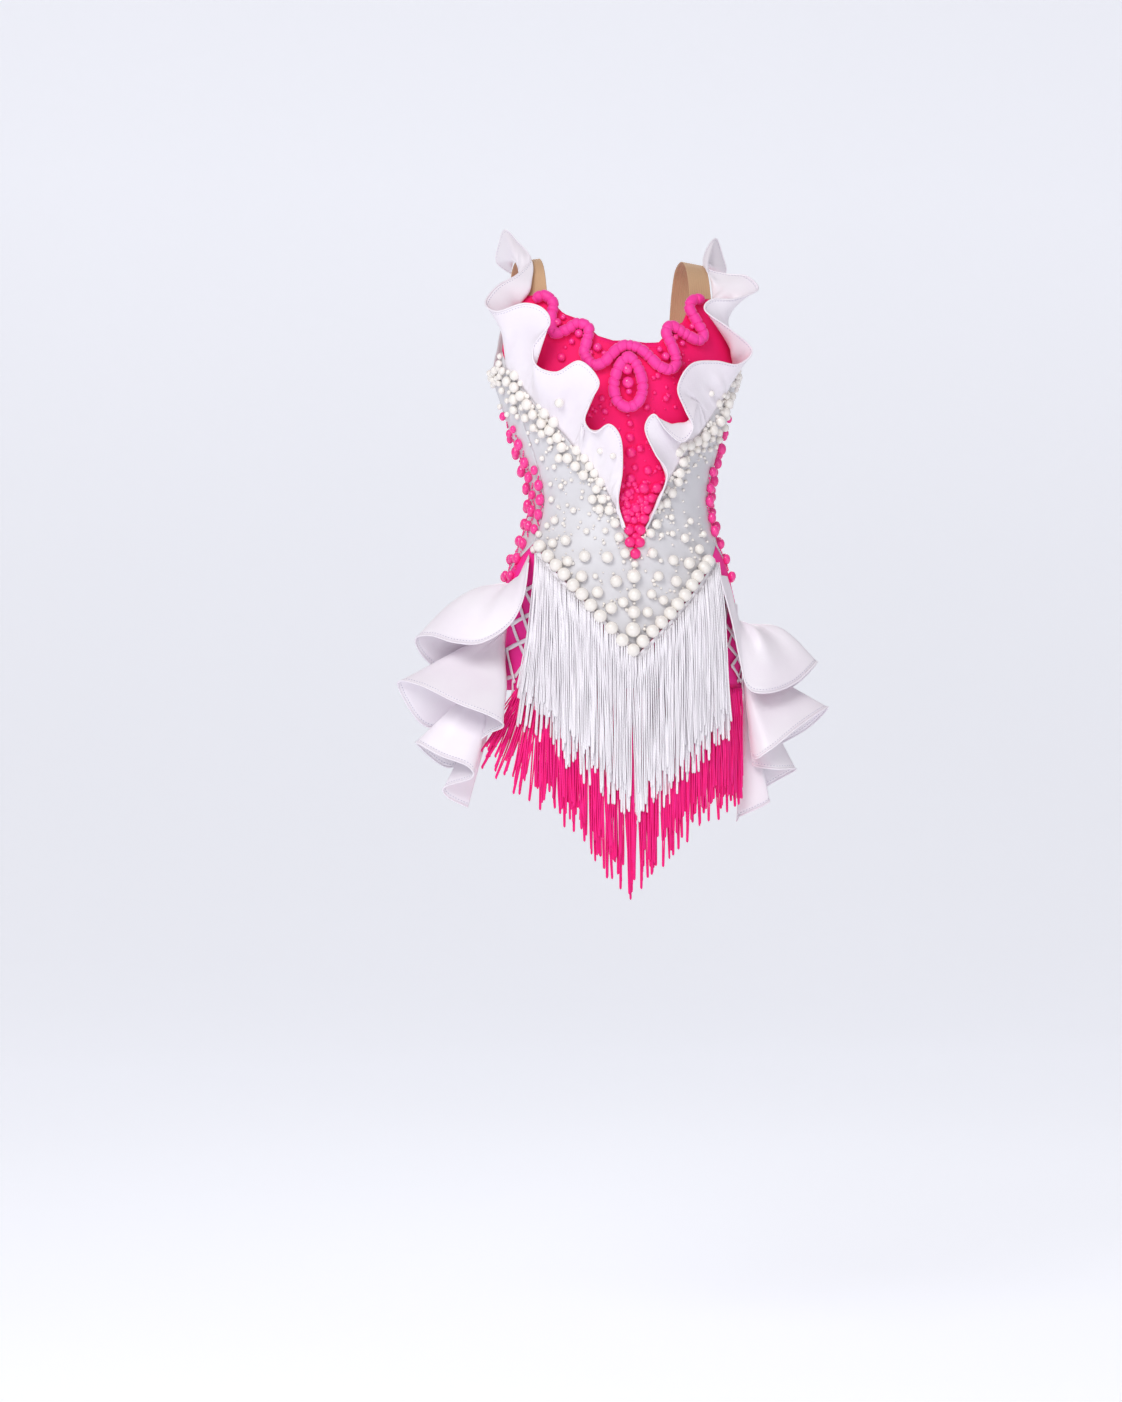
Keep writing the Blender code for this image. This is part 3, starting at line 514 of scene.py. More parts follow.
def tubePoints(path, radius, sides, ring=False):
    path = np.array(path, float)
    ahead, side = framesAlong(path)
    other = np.cross(ahead, side)
    around = 2 * math.pi * np.arange(sides) / sides
    radii = radius if callable(radius) else (lambda i, a: np.full_like(a, radius))
    rows = []
    for i in range(len(path)):
        r = radii(i, around)
        sideways = side[i] * (np.cos(around) * r)[:, None]
        upward = other[i] * (np.sin(around) * r)[:, None]
        rows.append(path[i] + sideways + upward)
    points = np.concatenate(rows)
    faces = gridFaces(len(path), sides, ring=True)
    if not ring:
        last = (len(path) - 1) * sides
        faces.append(tuple(range(sides)))
        faces.append(tuple(reversed(range(last, last + sides))))
    return points, faces


class Pile:  # many small pieces in one mesh
    def __init__(self):
        self.points = []
        self.faces = []
        self.count = 0

    def add(self, points, faces):
        self.points.append(np.array(points, float))
        self.faces += [tuple(corner + self.count for corner in face) for face in faces]
        self.count += len(points)

    def finish(self, name, look):
        return addMesh(name, np.concatenate(self.points), self.faces, look)


def ballShape(around, rings):
    points = [(0.0, 0.0, 1.0)]
    for ring in range(1, rings):
        tilt = math.pi * ring / rings
        wide, tall = math.sin(tilt), math.cos(tilt)
        for step in range(around):
            angle = 2 * math.pi * step / around
            points.append((wide * math.cos(angle), wide * math.sin(angle), tall))
    points.append((0.0, 0.0, -1.0))
    faces = [(0, 1 + step, 1 + (step + 1) % around) for step in range(around)]
    for ring in range(rings - 2):
        low = 1 + ring * around
        for step in range(around):
            ahead = (step + 1) % around
            faces.append((low + step, low + around + step, low + around + ahead, low + ahead))
    last = len(points) - 1
    low = last - around
    faces += [(last, low + (step + 1) % around, low + step) for step in range(around)]
    return np.array(points), faces


ballSizes = {"large": ballShape(20, 12), "medium": ballShape(14, 9), "small": ballShape(8, 5)}


def addBead(pile, spot, radius, size="medium", flat=1.0, tall=1.0, ahead=None):
    points, faces = ballSizes[size]
    out = outOf(spot)
    up = (ahead if ahead is not None else Vector((0, 0, 1)))
    side = up.cross(out).normalized()
    up = out.cross(side)
    shaped = (
        points[:, :1] * np.array(side) * radius
        + points[:, 1:2] * np.array(up) * radius * tall
        + points[:, 2:] * np.array(out) * radius * flat
    )
    pile.add(shaped + np.array(spot), faces)


def addStitches(pile, path, out, length=2.6, gap=1.7, radius=0.32):
    total = runLength(path)
    count = max(int(total / (length + gap)), 1)
    spots = evenly(path, count * 2 + 1)
    for i in range(count):
        start, end = np.array(spots[2 * i]), np.array(spots[2 * i + 1])
        lift = np.array(out(Vector(start)))
        points, faces = tubePoints([start, (start + end) / 2 + lift * radius * 0.6, end], radius, 4)
        pile.add(points, faces)


print("tools ready")

# Fitted panels: thin stretch cloth with turned, stitched edges

panelCut = {
    "thick": 1.0,
    "turned": 8.0,  # depth of a turned edge
    "turnedLift": 0.45,
    "wrinkle": 0.35,
    "wrinkleDown": 0.2,
    "fade": 20.0,  # wrinkles and pulls die out this near to an edge
    "pullScale": 2.4,  # mm for each degree
    "stitchIn": 6.0,
    "stitchLift": 0.1,
}


def wrinkle(spot, depth):
    broad = noise.noise(Vector((spot.x * 0.012, spot.y * 0.012, spot.z * 0.035)))
    fine = noise.noise(Vector((spot.x * 0.05, spot.y * 0.05, spot.z * 0.11)) + Vector((7, 3, 1)))
    return depth * (broad + 0.35 * fine)


def panel(name, ends, top, bottom, columns, rows, look, pulls=(), edges="tb"):
    first, last = ends
    angles = [first + (last - first) * c / columns for c in range(columns + 1)]
    turned, fade = panelCut["turned"], panelCut["fade"]
    points = []
    for r in range(rows + 1):
        for angle in angles:
            upper, lower = top(angle), bottom(angle)
            up = upper + (lower - upper) * (r / rows)
            fromTop, fromBottom = upper - up, up - lower
            atEdge = "t" in edges and fromTop < turned or "b" in edges and fromBottom < turned
            lift = panelCut["turnedLift"] if atEdge else 0.0
            inward = min(fromTop, fromBottom, fade) / fade
            lift += (wrinkle(form(angle, up), panelCut["wrinkle"]) - panelCut["wrinkleDown"]) * inward
            for pullAngle, pullUp, lean, long, wide, deep in pulls:
                along = (angle - pullAngle) * panelCut["pullScale"]
                across = (up - pullUp) - along * lean
                lift -= deep * math.exp(-((along / long) ** 2) - (across / wide) ** 2) * inward
            points.append(form(angle, up, lift))
    made = addMesh(name, points, gridFaces(rows + 1, columns + 1), look)
    shell(made, panelCut["thick"])
    stitches = Pile()
    inset, lift = panelCut["stitchIn"], panelCut["turnedLift"] + panelCut["stitchLift"]
    for which, edge, step in (("t", top, -inset), ("b", bottom, inset)):
        if which in edges:
            addStitches(stitches, [form(angle, edge(angle) + step, lift) for angle in angles], outOf)
    pieces = [stitches.finish(name + "_stitching", look)]
    print(name, "area", areaOf(made))


# Shallow pulls in the cloth: angle, up, lean, half length, half width, depth
waistPulls = (
    (-44, -318, 0.25, 30, 5, 0.7),
    (-50, -336, 0.15, 26, 4, 0.6),
    (-36, -300, 0.35, 22, 4, 0.5),
    (40, -322, -0.22, 28, 5, 0.7),
    (47, -340, -0.12, 24, 4, 0.6),
    (30, -352, -0.3, 20, 4, 0.4),
    (-20, -372, 0.5, 24, 5, 0.4),
)
backPulls = (
    (150, -300, 0.2, 34, 5, 0.8),
    (210, -304, -0.2, 34, 5, 0.8),
    (165, -322, 0.1, 26, 4, 0.6),
    (196, -326, -0.1, 26, 4, 0.6),
    (180, -286, 0.0, 30, 4, 0.5),
)
hipPulls = (
    (-50, -470, 0.5, 18, 5, 0.5),
    (52, -500, -0.5, 18, 5, 0.5),
    (140, -450, 0.3, 26, 6, 0.6),
    (222, -455, -0.3, 26, 6, 0.6),
)


def backHem(angle):
    return sideHem(180 - abs(angle - 180))


def makePanels():
    side, back, hem, gap = seams["side"], seams["back"], seams["yokeHem"], seams["gap"]
    front = (-side + gap / 2, side - gap / 2)
    panel(
        "v_panel", front, lambda a: straightBetween(seams["neck"], a), lambda a: vSeam(a) + gap,
        84, 30, "hot_pink_cloth", edges="t",
    )
    panel(
        "bodice_front", front, lambda a: vSeam(a) - gap, bodiceHem,
        96, 36, "silver_cloth", waistPulls, edges="b",
    )
    for name, sign in (("side_panel_right", -1), ("side_panel_left", 1)):
        ends = sorted((sign * (side + gap), sign * (back - gap)))
        panel(
            name, ends, lambda a: straightBetween(seams["underarm"], abs(a)), sideHem,
            30, 48, "silver_cloth",
        )
    panel(
        "bodice_back", (back + gap, 360 - back - gap),
        lambda a: straightBetween(seams["backEdge"], abs(a - 180)), backHem,
        90, 44, "silver_cloth", backPulls,
    )
    # the hip yoke takes the lighter copy of the hot pink cloth, painted light
    panel(
        "hip_yoke_front", (-90 + gap, 90 - gap), yokeTop, lambda a: hem,
        100, 24, "hip_pink", hipPulls, edges="b",
    )
    panel(
        "hip_yoke_back", (90 + gap, 270 - gap), lambda a: backHem(a) - 0.8, lambda a: hem,
        100, 24, "hip_pink", hipPulls, edges="b",
    )


makePanels()
print("panels done")

# Straps: wide nude elastic over the shoulders

straps = {
    "inner": 32.5,
    "outer": 45.0,
    "backInner": 33.5,
    "backOuter": 45.5,
    "frontTop": -48.0,
    "backTop": -76.0,
    "rise": (
        (-50, -16, -41, -18),
        (-24, 2, -18, -2),
        (8, 6, 9, 2),
        (40, -4, 39, -9),
        (64, -36, 60, -40),
    ),
    "lift": 0.45,
    "thick": 1.2,
    "steps": 12,
    "rows": 27,
    "ribs": 9,
    "ribDepth": 0.35,
}


def strapEdges(side, steps):
    edges = []
    for which, front, back in ((0, "inner", "backInner"), (1, "outer", "backOuter")):
        start = form(side * straps[front], straps["frontTop"] + straps["lift"])
        end = form(180 - side * straps[back], straps["backTop"] + straps["lift"])
        rows = [tuple(start)]
        for index, row in enumerate(straps["rise"]):
            share = (index + 1) / (len(straps["rise"]) + 1)
            rows.append((start.x + (end.x - start.x) * share, row[2 * which], row[2 * which + 1]))
        rows.append(tuple(end))
        edges.append([Vector(point) for point in smoothThrough(rows, steps)])
    return edges


def makeStrap(name, side):
    inner, outer = strapEdges(side, straps["steps"])
    columns, rows = len(inner), straps["rows"]
    base = np.array([[a.lerp(b, r / rows) for a, b in zip(inner, outer)] for r in range(rows + 1)])
    if side < 0:
        base = base[::-1]
    lengthwise = np.gradient(base, axis=1)
    sideways = np.gradient(base, axis=0)
    normal = np.cross(sideways, lengthwise)
    normal /= np.linalg.norm(normal, axis=2)[:, :, None]
    ribs = np.cos(2 * math.pi * straps["ribs"] * np.arange(rows + 1) / rows) * straps["ribDepth"]
    points = base + normal * (ribs[:, None, None] - straps["ribDepth"])
    made = addMesh(name, points.reshape(-1, 3), gridFaces(rows + 1, columns), "nude_elastic")
    shell(made, straps["thick"])


makeStrap("strap_right", -1)
makeStrap("strap_left", 1)
print("straps done")

# Ruffles and flounces: satin strips sewn along one edge, free along the other

satinCut = {
    "thick": 0.8,
    "rows": 20,
    "gatherDepth": 1.2,
    "hemRadius": 1.25,
    "stitchIn": 4.2,
    "clear": 2.4,  # below the armhole's level, a ruffle stays this far off the form
    "seamPoints": 1600,
    "edgeSteps": 24,
}
shoulderRuffles = {
    **satinCut,
    "bulge": 5.0,
    "columns": 560,
    "gathers": 34,
    "folds": 22,
    "foldDepth": 3.2,
    "rightBelly": (  # place along the seam, then how far the middle stands to the left and up
        (0.08, 0, 0), (0.20, 13, 0), (0.32, 11, 0), (0.43, 0, 0), (0.74, 0, 0), (0.79, 0, 18), (0.84, 0, 0),
    ),
    "leftBelly": ((0.60, 0, 0), (0.66, 0, 26), (0.71, 0, 24), (0.77, 0, 0)),
    "rightEdge": (  # place along the seam, then across, up and near in the front view
        (0.00, -128, -10, -26), (0.03, -146, 4, -22), (0.055, -144, 25, -12), (0.08, -136, 45, 0),
        (0.105, -120, 30, 22), (0.15, -103, 8, 54), (0.21, -120, -12, 80), (0.28, -146, -27, 96),
        (0.36, -161, -48, 112), (0.41, -146, -59, 128), (0.45, -112, -49, 142), (0.49, -87, -56, 148),
        (0.52, -79, -75, 146), (0.55, -99, -103, 132), (0.58, -96, -128, 128), (0.62, -70, -137, 136),
        (0.66, -40, -123, 150), (0.70, -16, -148, 152), (0.73, -26, -173, 143), (0.76, -34, -199, 132),
        (0.79, -21, -214, 130), (0.82, -2, -204, 138), (0.86, 12, -222, 136), (0.90, 14, -262, 118),
        (0.95, 9, -302, 105), (1.00, 15, -336, 97),
    ),
    "leftEdge": (
        (0.00, 134, -20, -56), (0.03, 147, -8, -54), (0.055, 142, 14, -52), (0.08, 134, 34, -46),
        (0.105, 121, 16, -22), (0.14, 121, -3, 4), (0.18, 147, -11, 20), (0.22, 174, -14, 28),
        (0.26, 188, -31, 40), (0.30, 158, -43, 60), (0.34, 129, -44, 72), (0.37, 121, -58, 78),
        (0.41, 152, -81, 72), (0.45, 181, -108, 66), (0.49, 163, -127, 78), (0.53, 134, -123, 94),
        (0.57, 103, -127, 110), (0.61, 86, -156, 114), (0.64, 95, -184, 104), (0.67, 105, -208, 98),
        (0.70, 91, -226, 104), (0.73, 71, -211, 114), (0.76, 55, -191, 124), (0.79, 44, -209, 118),
        (0.83, 57, -241, 112), (0.88, 72, -266, 103), (0.94, 62, -301, 96), (1.00, 47, -334, 90),
    ),
    "strapGap": 1.3,  # outside the strap's edge, on top of seamOut
    "strapFoot": (0.8, -54),  # past the strap's edge in degrees, up
    "armhole": ((53, -71), (59, -95), (64, -124)),
    "vSteps": 8,
    "vEnds": (1.5, 2.0, 5.5),  # degrees: shift, gap at the side, gap at the point
    "vUp": 0.4,
}

hipFlounces = {
    **satinCut,
    "bulge": 4.0,
    "columns": 600,
    "gathers": 30,
    "folds": 26,
    "foldDepth": 3.4,
    "rightBelly": ((0.00, 0, 0), (0.12, 0, 12), (0.30, 0, 30), (0.42, 0, 22), (0.50, 0, 0)),
    "leftBelly": ((0.05, 0, 0), (0.25, 0, 8), (0.42, 0, 24), (0.50, 0, 20), (0.57, 0, 0)),
    "rightSeam": ((-66, -373), (-70, -425), (-75, -480), (-78, -522)),
    "leftSeam": ((67, -399), (71.5, -457), (76, -505), (80, -538)),
    "rightEdge": (
        (0.00, -106, -381, 92), (0.10, -113, -427, 108), (0.17, -131, -461, 118),
        (0.23, -166, -483, 122), (0.28, -200, -483, 115), (0.33, -231, -474, 100),
        (0.37, -250, -478, 82), (0.41, -242, -499, 62), (0.46, -212, -528, 42), (0.50, -192, -560, 36),
        (0.54, -216, -590, 38), (0.57, -246, -584, 50), (0.61, -273, -536, 80), (0.64, -246, -537, 104),
        (0.69, -198, -560, 124), (0.74, -154, -577, 128), (0.77, -138, -590, 116),
        (0.80, -162, -603, 92), (0.84, -206, -643, 58), (0.88, -250, -611, 80), (0.91, -218, -628, 98),
        (0.94, -184, -641, 106), (0.955, -178, -656, 96), (0.97, -213, -668, 72),
        (0.985, -209, -681, 60), (1.00, -183, -694, 50),
    ),
    "leftEdge": (
        (0.00, 139, -397, 46), (0.14, 155, -455, 50), (0.28, 165, -503, 54), (0.36, 176, -541, 60),
        (0.40, 203, -547, 57), (0.45, 237, -534, 38), (0.49, 264, -508, 10), (0.53, 246, -529, -10),
        (0.57, 206, -560, -20), (0.61, 182, -592, 4), (0.65, 182, -630, 44), (0.69, 204, -620, 56),
        (0.74, 244, -588, 38), (0.78, 278, -566, 8), (0.82, 252, -593, -10), (0.86, 206, -619, -10),
        (0.89, 181, -638, 20), (0.92, 210, -645, 34), (0.945, 237, -645, 12), (0.96, 212, -660, -4),
        (0.975, 188, -676, 0), (0.985, 202, -688, 10), (1.00, 149, -712, 20),
    ),
}

seamOut = 1.3  # a ruffle's sewn edge lies this far off the form


def shoulderSeam(side):
    cut = shoulderRuffles
    _, strapEdge = strapEdges(side, 3)
    beside = Vector((side * (seamOut + cut["strapGap"]), 0, 0))
    path = [point + beside for point in reversed(strapEdge[1:10])]
    past, foot = cut["strapFoot"]
    for angle, up in ((straps["outer"] + past, foot), *cut["armhole"]):
        path.append(form(side * angle, up, seamOut))
    shift, sideGap, tipGap = cut["vEnds"]
    tip = seams["centre"] + tipGap * side
    for step in range(cut["vSteps"] + 1):
        angle = side * (seams["side"] - sideGap) * (1 - step / cut["vSteps"]) + side * shift
        angle = max(angle, tip) if side > 0 else min(angle, tip)
        path.append(form(angle, vSeam(angle) + cut["vUp"], seamOut))
    return smoothThrough([tuple(point) for point in path], 6)


def hipSeam(rows):
    return [tuple(form(angle, up, seamOut)) for angle, up in smoothThrough(rows, 12)]


def creaseField(places, shares, cut, seed):
    drawn = random.Random(seed)
    depth = np.zeros((len(shares), len(places)))
    for _ in range(cut["gathers"]):  # short, by the seam
        centre = drawn.random()
        wide = drawn.uniform(0.006, 0.013)
        deep = cut["gatherDepth"] * drawn.uniform(0.5, 1.3) * drawn.choice((-1, -1, 1))
        reach = drawn.uniform(0.25, 0.6)
        fade = np.clip(shares / 0.05, 0, 1) * np.exp(-((shares / reach) ** 2))
        depth += deep * fade[:, None] * np.exp(-(((places - centre) / wide) ** 2))[None, :]
    for _ in range(cut["folds"]):  # long, soft, fading before the hem
        centre = drawn.random()
        wide = drawn.uniform(0.012, 0.028)
        deep = cut["foldDepth"] * drawn.uniform(0.4, 1.2) * drawn.choice((-1, 1))
        middle = drawn.uniform(0.35, 0.6)
        lean = drawn.uniform(-0.02, 0.02)
        fade = np.exp(-(((shares - middle) / 0.26) ** 2)) * np.clip((1 - shares) / 0.15, 0, 1)
        away = places[None, :] - centre - lean * shares[:, None]
        depth += deep * fade[:, None] * np.exp(-((away / wide) ** 2))
    return depth


def makeRuffle(name, seam, edge, cut, seed, bellies):
    columns, rows = cut["columns"], cut["rows"]
    seamAt = evenly(seam, cut["seamPoints"])
    dense = []
    for place, across, up, near in smoothThrough(edge, cut["edgeSteps"]):
        dense.append((min(max(place, 0.0), 1.0), *sight(across, up, near)))
    free = evenly(dense, columns + 1, 1)
    start = seamAt[np.rint(free[:, 0] * (len(seamAt) - 1)).astype(int)]
    shares = np.linspace(0, 1, rows + 1)
    offs = np.array([smoothBetween(bellies, place) for place in free[:, 0]])
    belly = np.array(toward)[None, :] * cut["bulge"] + np.array(rightward)[None, :] * offs[:, :1]
    belly[:, 2] += offs[:, 1]
    belly = belly[None] * np.sin(math.pi * shares)[:, None, None]
    base = start[None] * (1 - shares)[:, None, None] + free[None, :, 1:] * shares[:, None, None] + belly
    lengthwise = np.gradient(base, axis=1)
    down = np.gradient(base, axis=0)
    normal = np.cross(lengthwise, down)
    normal /= np.linalg.norm(normal, axis=2)[:, :, None] + 1e-9
    depth = creaseField(np.linspace(0, 1, columns + 1), shares, cut, seed)
    base = base + normal * depth[:, :, None]
    for r in range(1, rows + 1):
        for c in range(columns + 1):
            base[r, c] = clearOfForm(Vector(base[r, c]), cut["clear"])
    made = addMesh(name, base.reshape(-1, 3), gridFaces(rows + 1, columns + 1), "white_satin")
    shell(made, cut["thick"], 0.0)
    hem = Pile()
    hem.add(*tubePoints(base[-1], cut["hemRadius"], 6))
    depthHere = np.linalg.norm(base[-1] - base[-2], axis=1) + 1e-6
    inset = np.clip(cut["stitchIn"] / depthHere, 0, 1)[:, None]
    stitchLine = base[-1] * (1 - inset) + base[-2] * inset
    hemPiece = hem.finish(name + "_hem", "white_satin")
    sewing = Pile()
    addStitches(sewing, stitchLine, lambda point: toward, 2.4, 1.6, 0.55)
    sewingPiece = sewing.finish(name + "_stitching", "seam_thread")
    print(name, "hem", round(runLength(base[-1])), "seam", round(runLength(seam)), "area", areaOf(made))


ruffleSheets = (  # name, settings, side, random seed, flat size and area
    ("shoulder_ruffle_right", shoulderRuffles, "right", 11, (0.69, 0.07), 0.030),
    ("shoulder_ruffle_left", shoulderRuffles, "left", 12, (0.77, 0.06), 0.026),
    ("hip_flounce_right", hipFlounces, "right", 13, (1.00, 0.12), 0.064),
    ("hip_flounce_left", hipFlounces, "left", 14, (0.95, 0.11), 0.052),
)
for name, cut, side, seed, flat, area in ruffleSheets:
    if cut is hipFlounces:
        seam = hipSeam(cut[side + "Seam"])
    else:
        seam = shoulderSeam(-1 if side == "right" else 1)
    makeRuffle(name, seam, cut[side + "Edge"], cut, seed, cut[side + "Belly"])
print("ruffles done")

# Neckline: cloth gathered over a soft cord, laid in waves, and one closed drop loop

neckTrim = {
    "radius": 6.8,
    "off": 7.3,
    "gather": 11.0,  # mm from one gather to the next
    "gatherWide": 1.15,
    "gatherDepth": 0.21,
    "sides": 18,
    "routeRings": 760,
    "loopRings": 250,
    "loopSteps": 96,
    "endWidth": (0.55, 0.45, 6.0),  # share at the very end, what is added, over how many mm
    "loopCentre": (22.0, -149.0),
    "loopHalf": (21.5, 32.4),
    "loopTaper": 0.45,
    "route": (
        (-102, -45), (-90, -38), (-77, -48), (-79, -67), (-76, -86), (-60, -83),
        (-45, -74), (-30, -80), (-32, -96), (-35, -113), (-23, -127), (-9, -123),
        (4, -110), (18, -102), (36, -106), (48, -115), (63, -129), (77, -133),
        (85, -123), (79, -102), (72, -86), (79, -77), (97, -88), (114, -96),
        (120, -88), (111, -70), (103, -54), (109, -44), (121, -44),
    ),
}


def gatheredTube(name, path, ring, seed):
    drawn = random.Random(seed)
    total = runLength(path)
    places = []
    at = drawn.uniform(0, neckTrim["gather"])
    while at < total:
        places.append(at)
        at += neckTrim["gather"] * drawn.uniform(0.6, 1.35)
    places = np.array(places)
    deeps = np.array([drawn.uniform(0.6, 1.25) for _ in places])
    leans = np.array([drawn.uniform(-2.6, 2.6) for _ in places])
    turns = np.array([drawn.uniform(0, 2 * math.pi) for _ in places])
    step = total / (len(path) - 1)

    least, added, over = neckTrim["endWidth"]

    def radii(i, around):
        away = i * step - places[:, None] + leans[:, None] * np.cos(around[None, :] - turns[:, None])
        gathers = (deeps[:, None] * np.exp(-((away / neckTrim["gatherWide"]) ** 2))).sum(axis=0)
        fromEnd = min(i, len(path) - 1 - i) * step
        ends = 1.0 if ring else min(1.0, least + added * math.sqrt(fromEnd / over + 0.001))
        return neckTrim["radius"] * ends * (1.05 - neckTrim["gatherDepth"] * gathers)

    sides = neckTrim["sides"]
    points, faces = tubePoints(path, radii, sides, ring)
    if ring:  # the last ring joins the first
        last = (len(path) - 1) * sides
        for c in range(sides):
            ahead = (c + 1) % sides
            faces.append((last + c, c, ahead, last + ahead))
    made = addMesh(name, points, faces, "tube_pink")


def makeNeckTrim():
    off = neckTrim["off"]
    route = [tuple(seen(across, up, off)) for across, up in smoothThrough(neckTrim["route"], 5)]
    gatheredTube("neckline_tube", evenly(route, neckTrim["routeRings"]), False, 21)
    middle, level = neckTrim["loopCentre"]
    wide, tall = neckTrim["loopHalf"]
    loop = []
    for step in range(neckTrim["loopSteps"] + 1):
        angle = 2 * math.pi * step / neckTrim["loopSteps"]
        across = middle + wide * math.sin(angle) * math.sin(angle / 2) ** neckTrim["loopTaper"]
        loop.append(tuple(seen(across, level + tall * math.cos(angle), off)))
    gatheredTube("neckline_drop_loop", evenly(loop, neckTrim["loopRings"] + 1)[:-1], True, 22)


makeNeckTrim()
print("neck trim done")

# Pearls and beads. Places are in the photograph's frame: x, y, radius in pixels

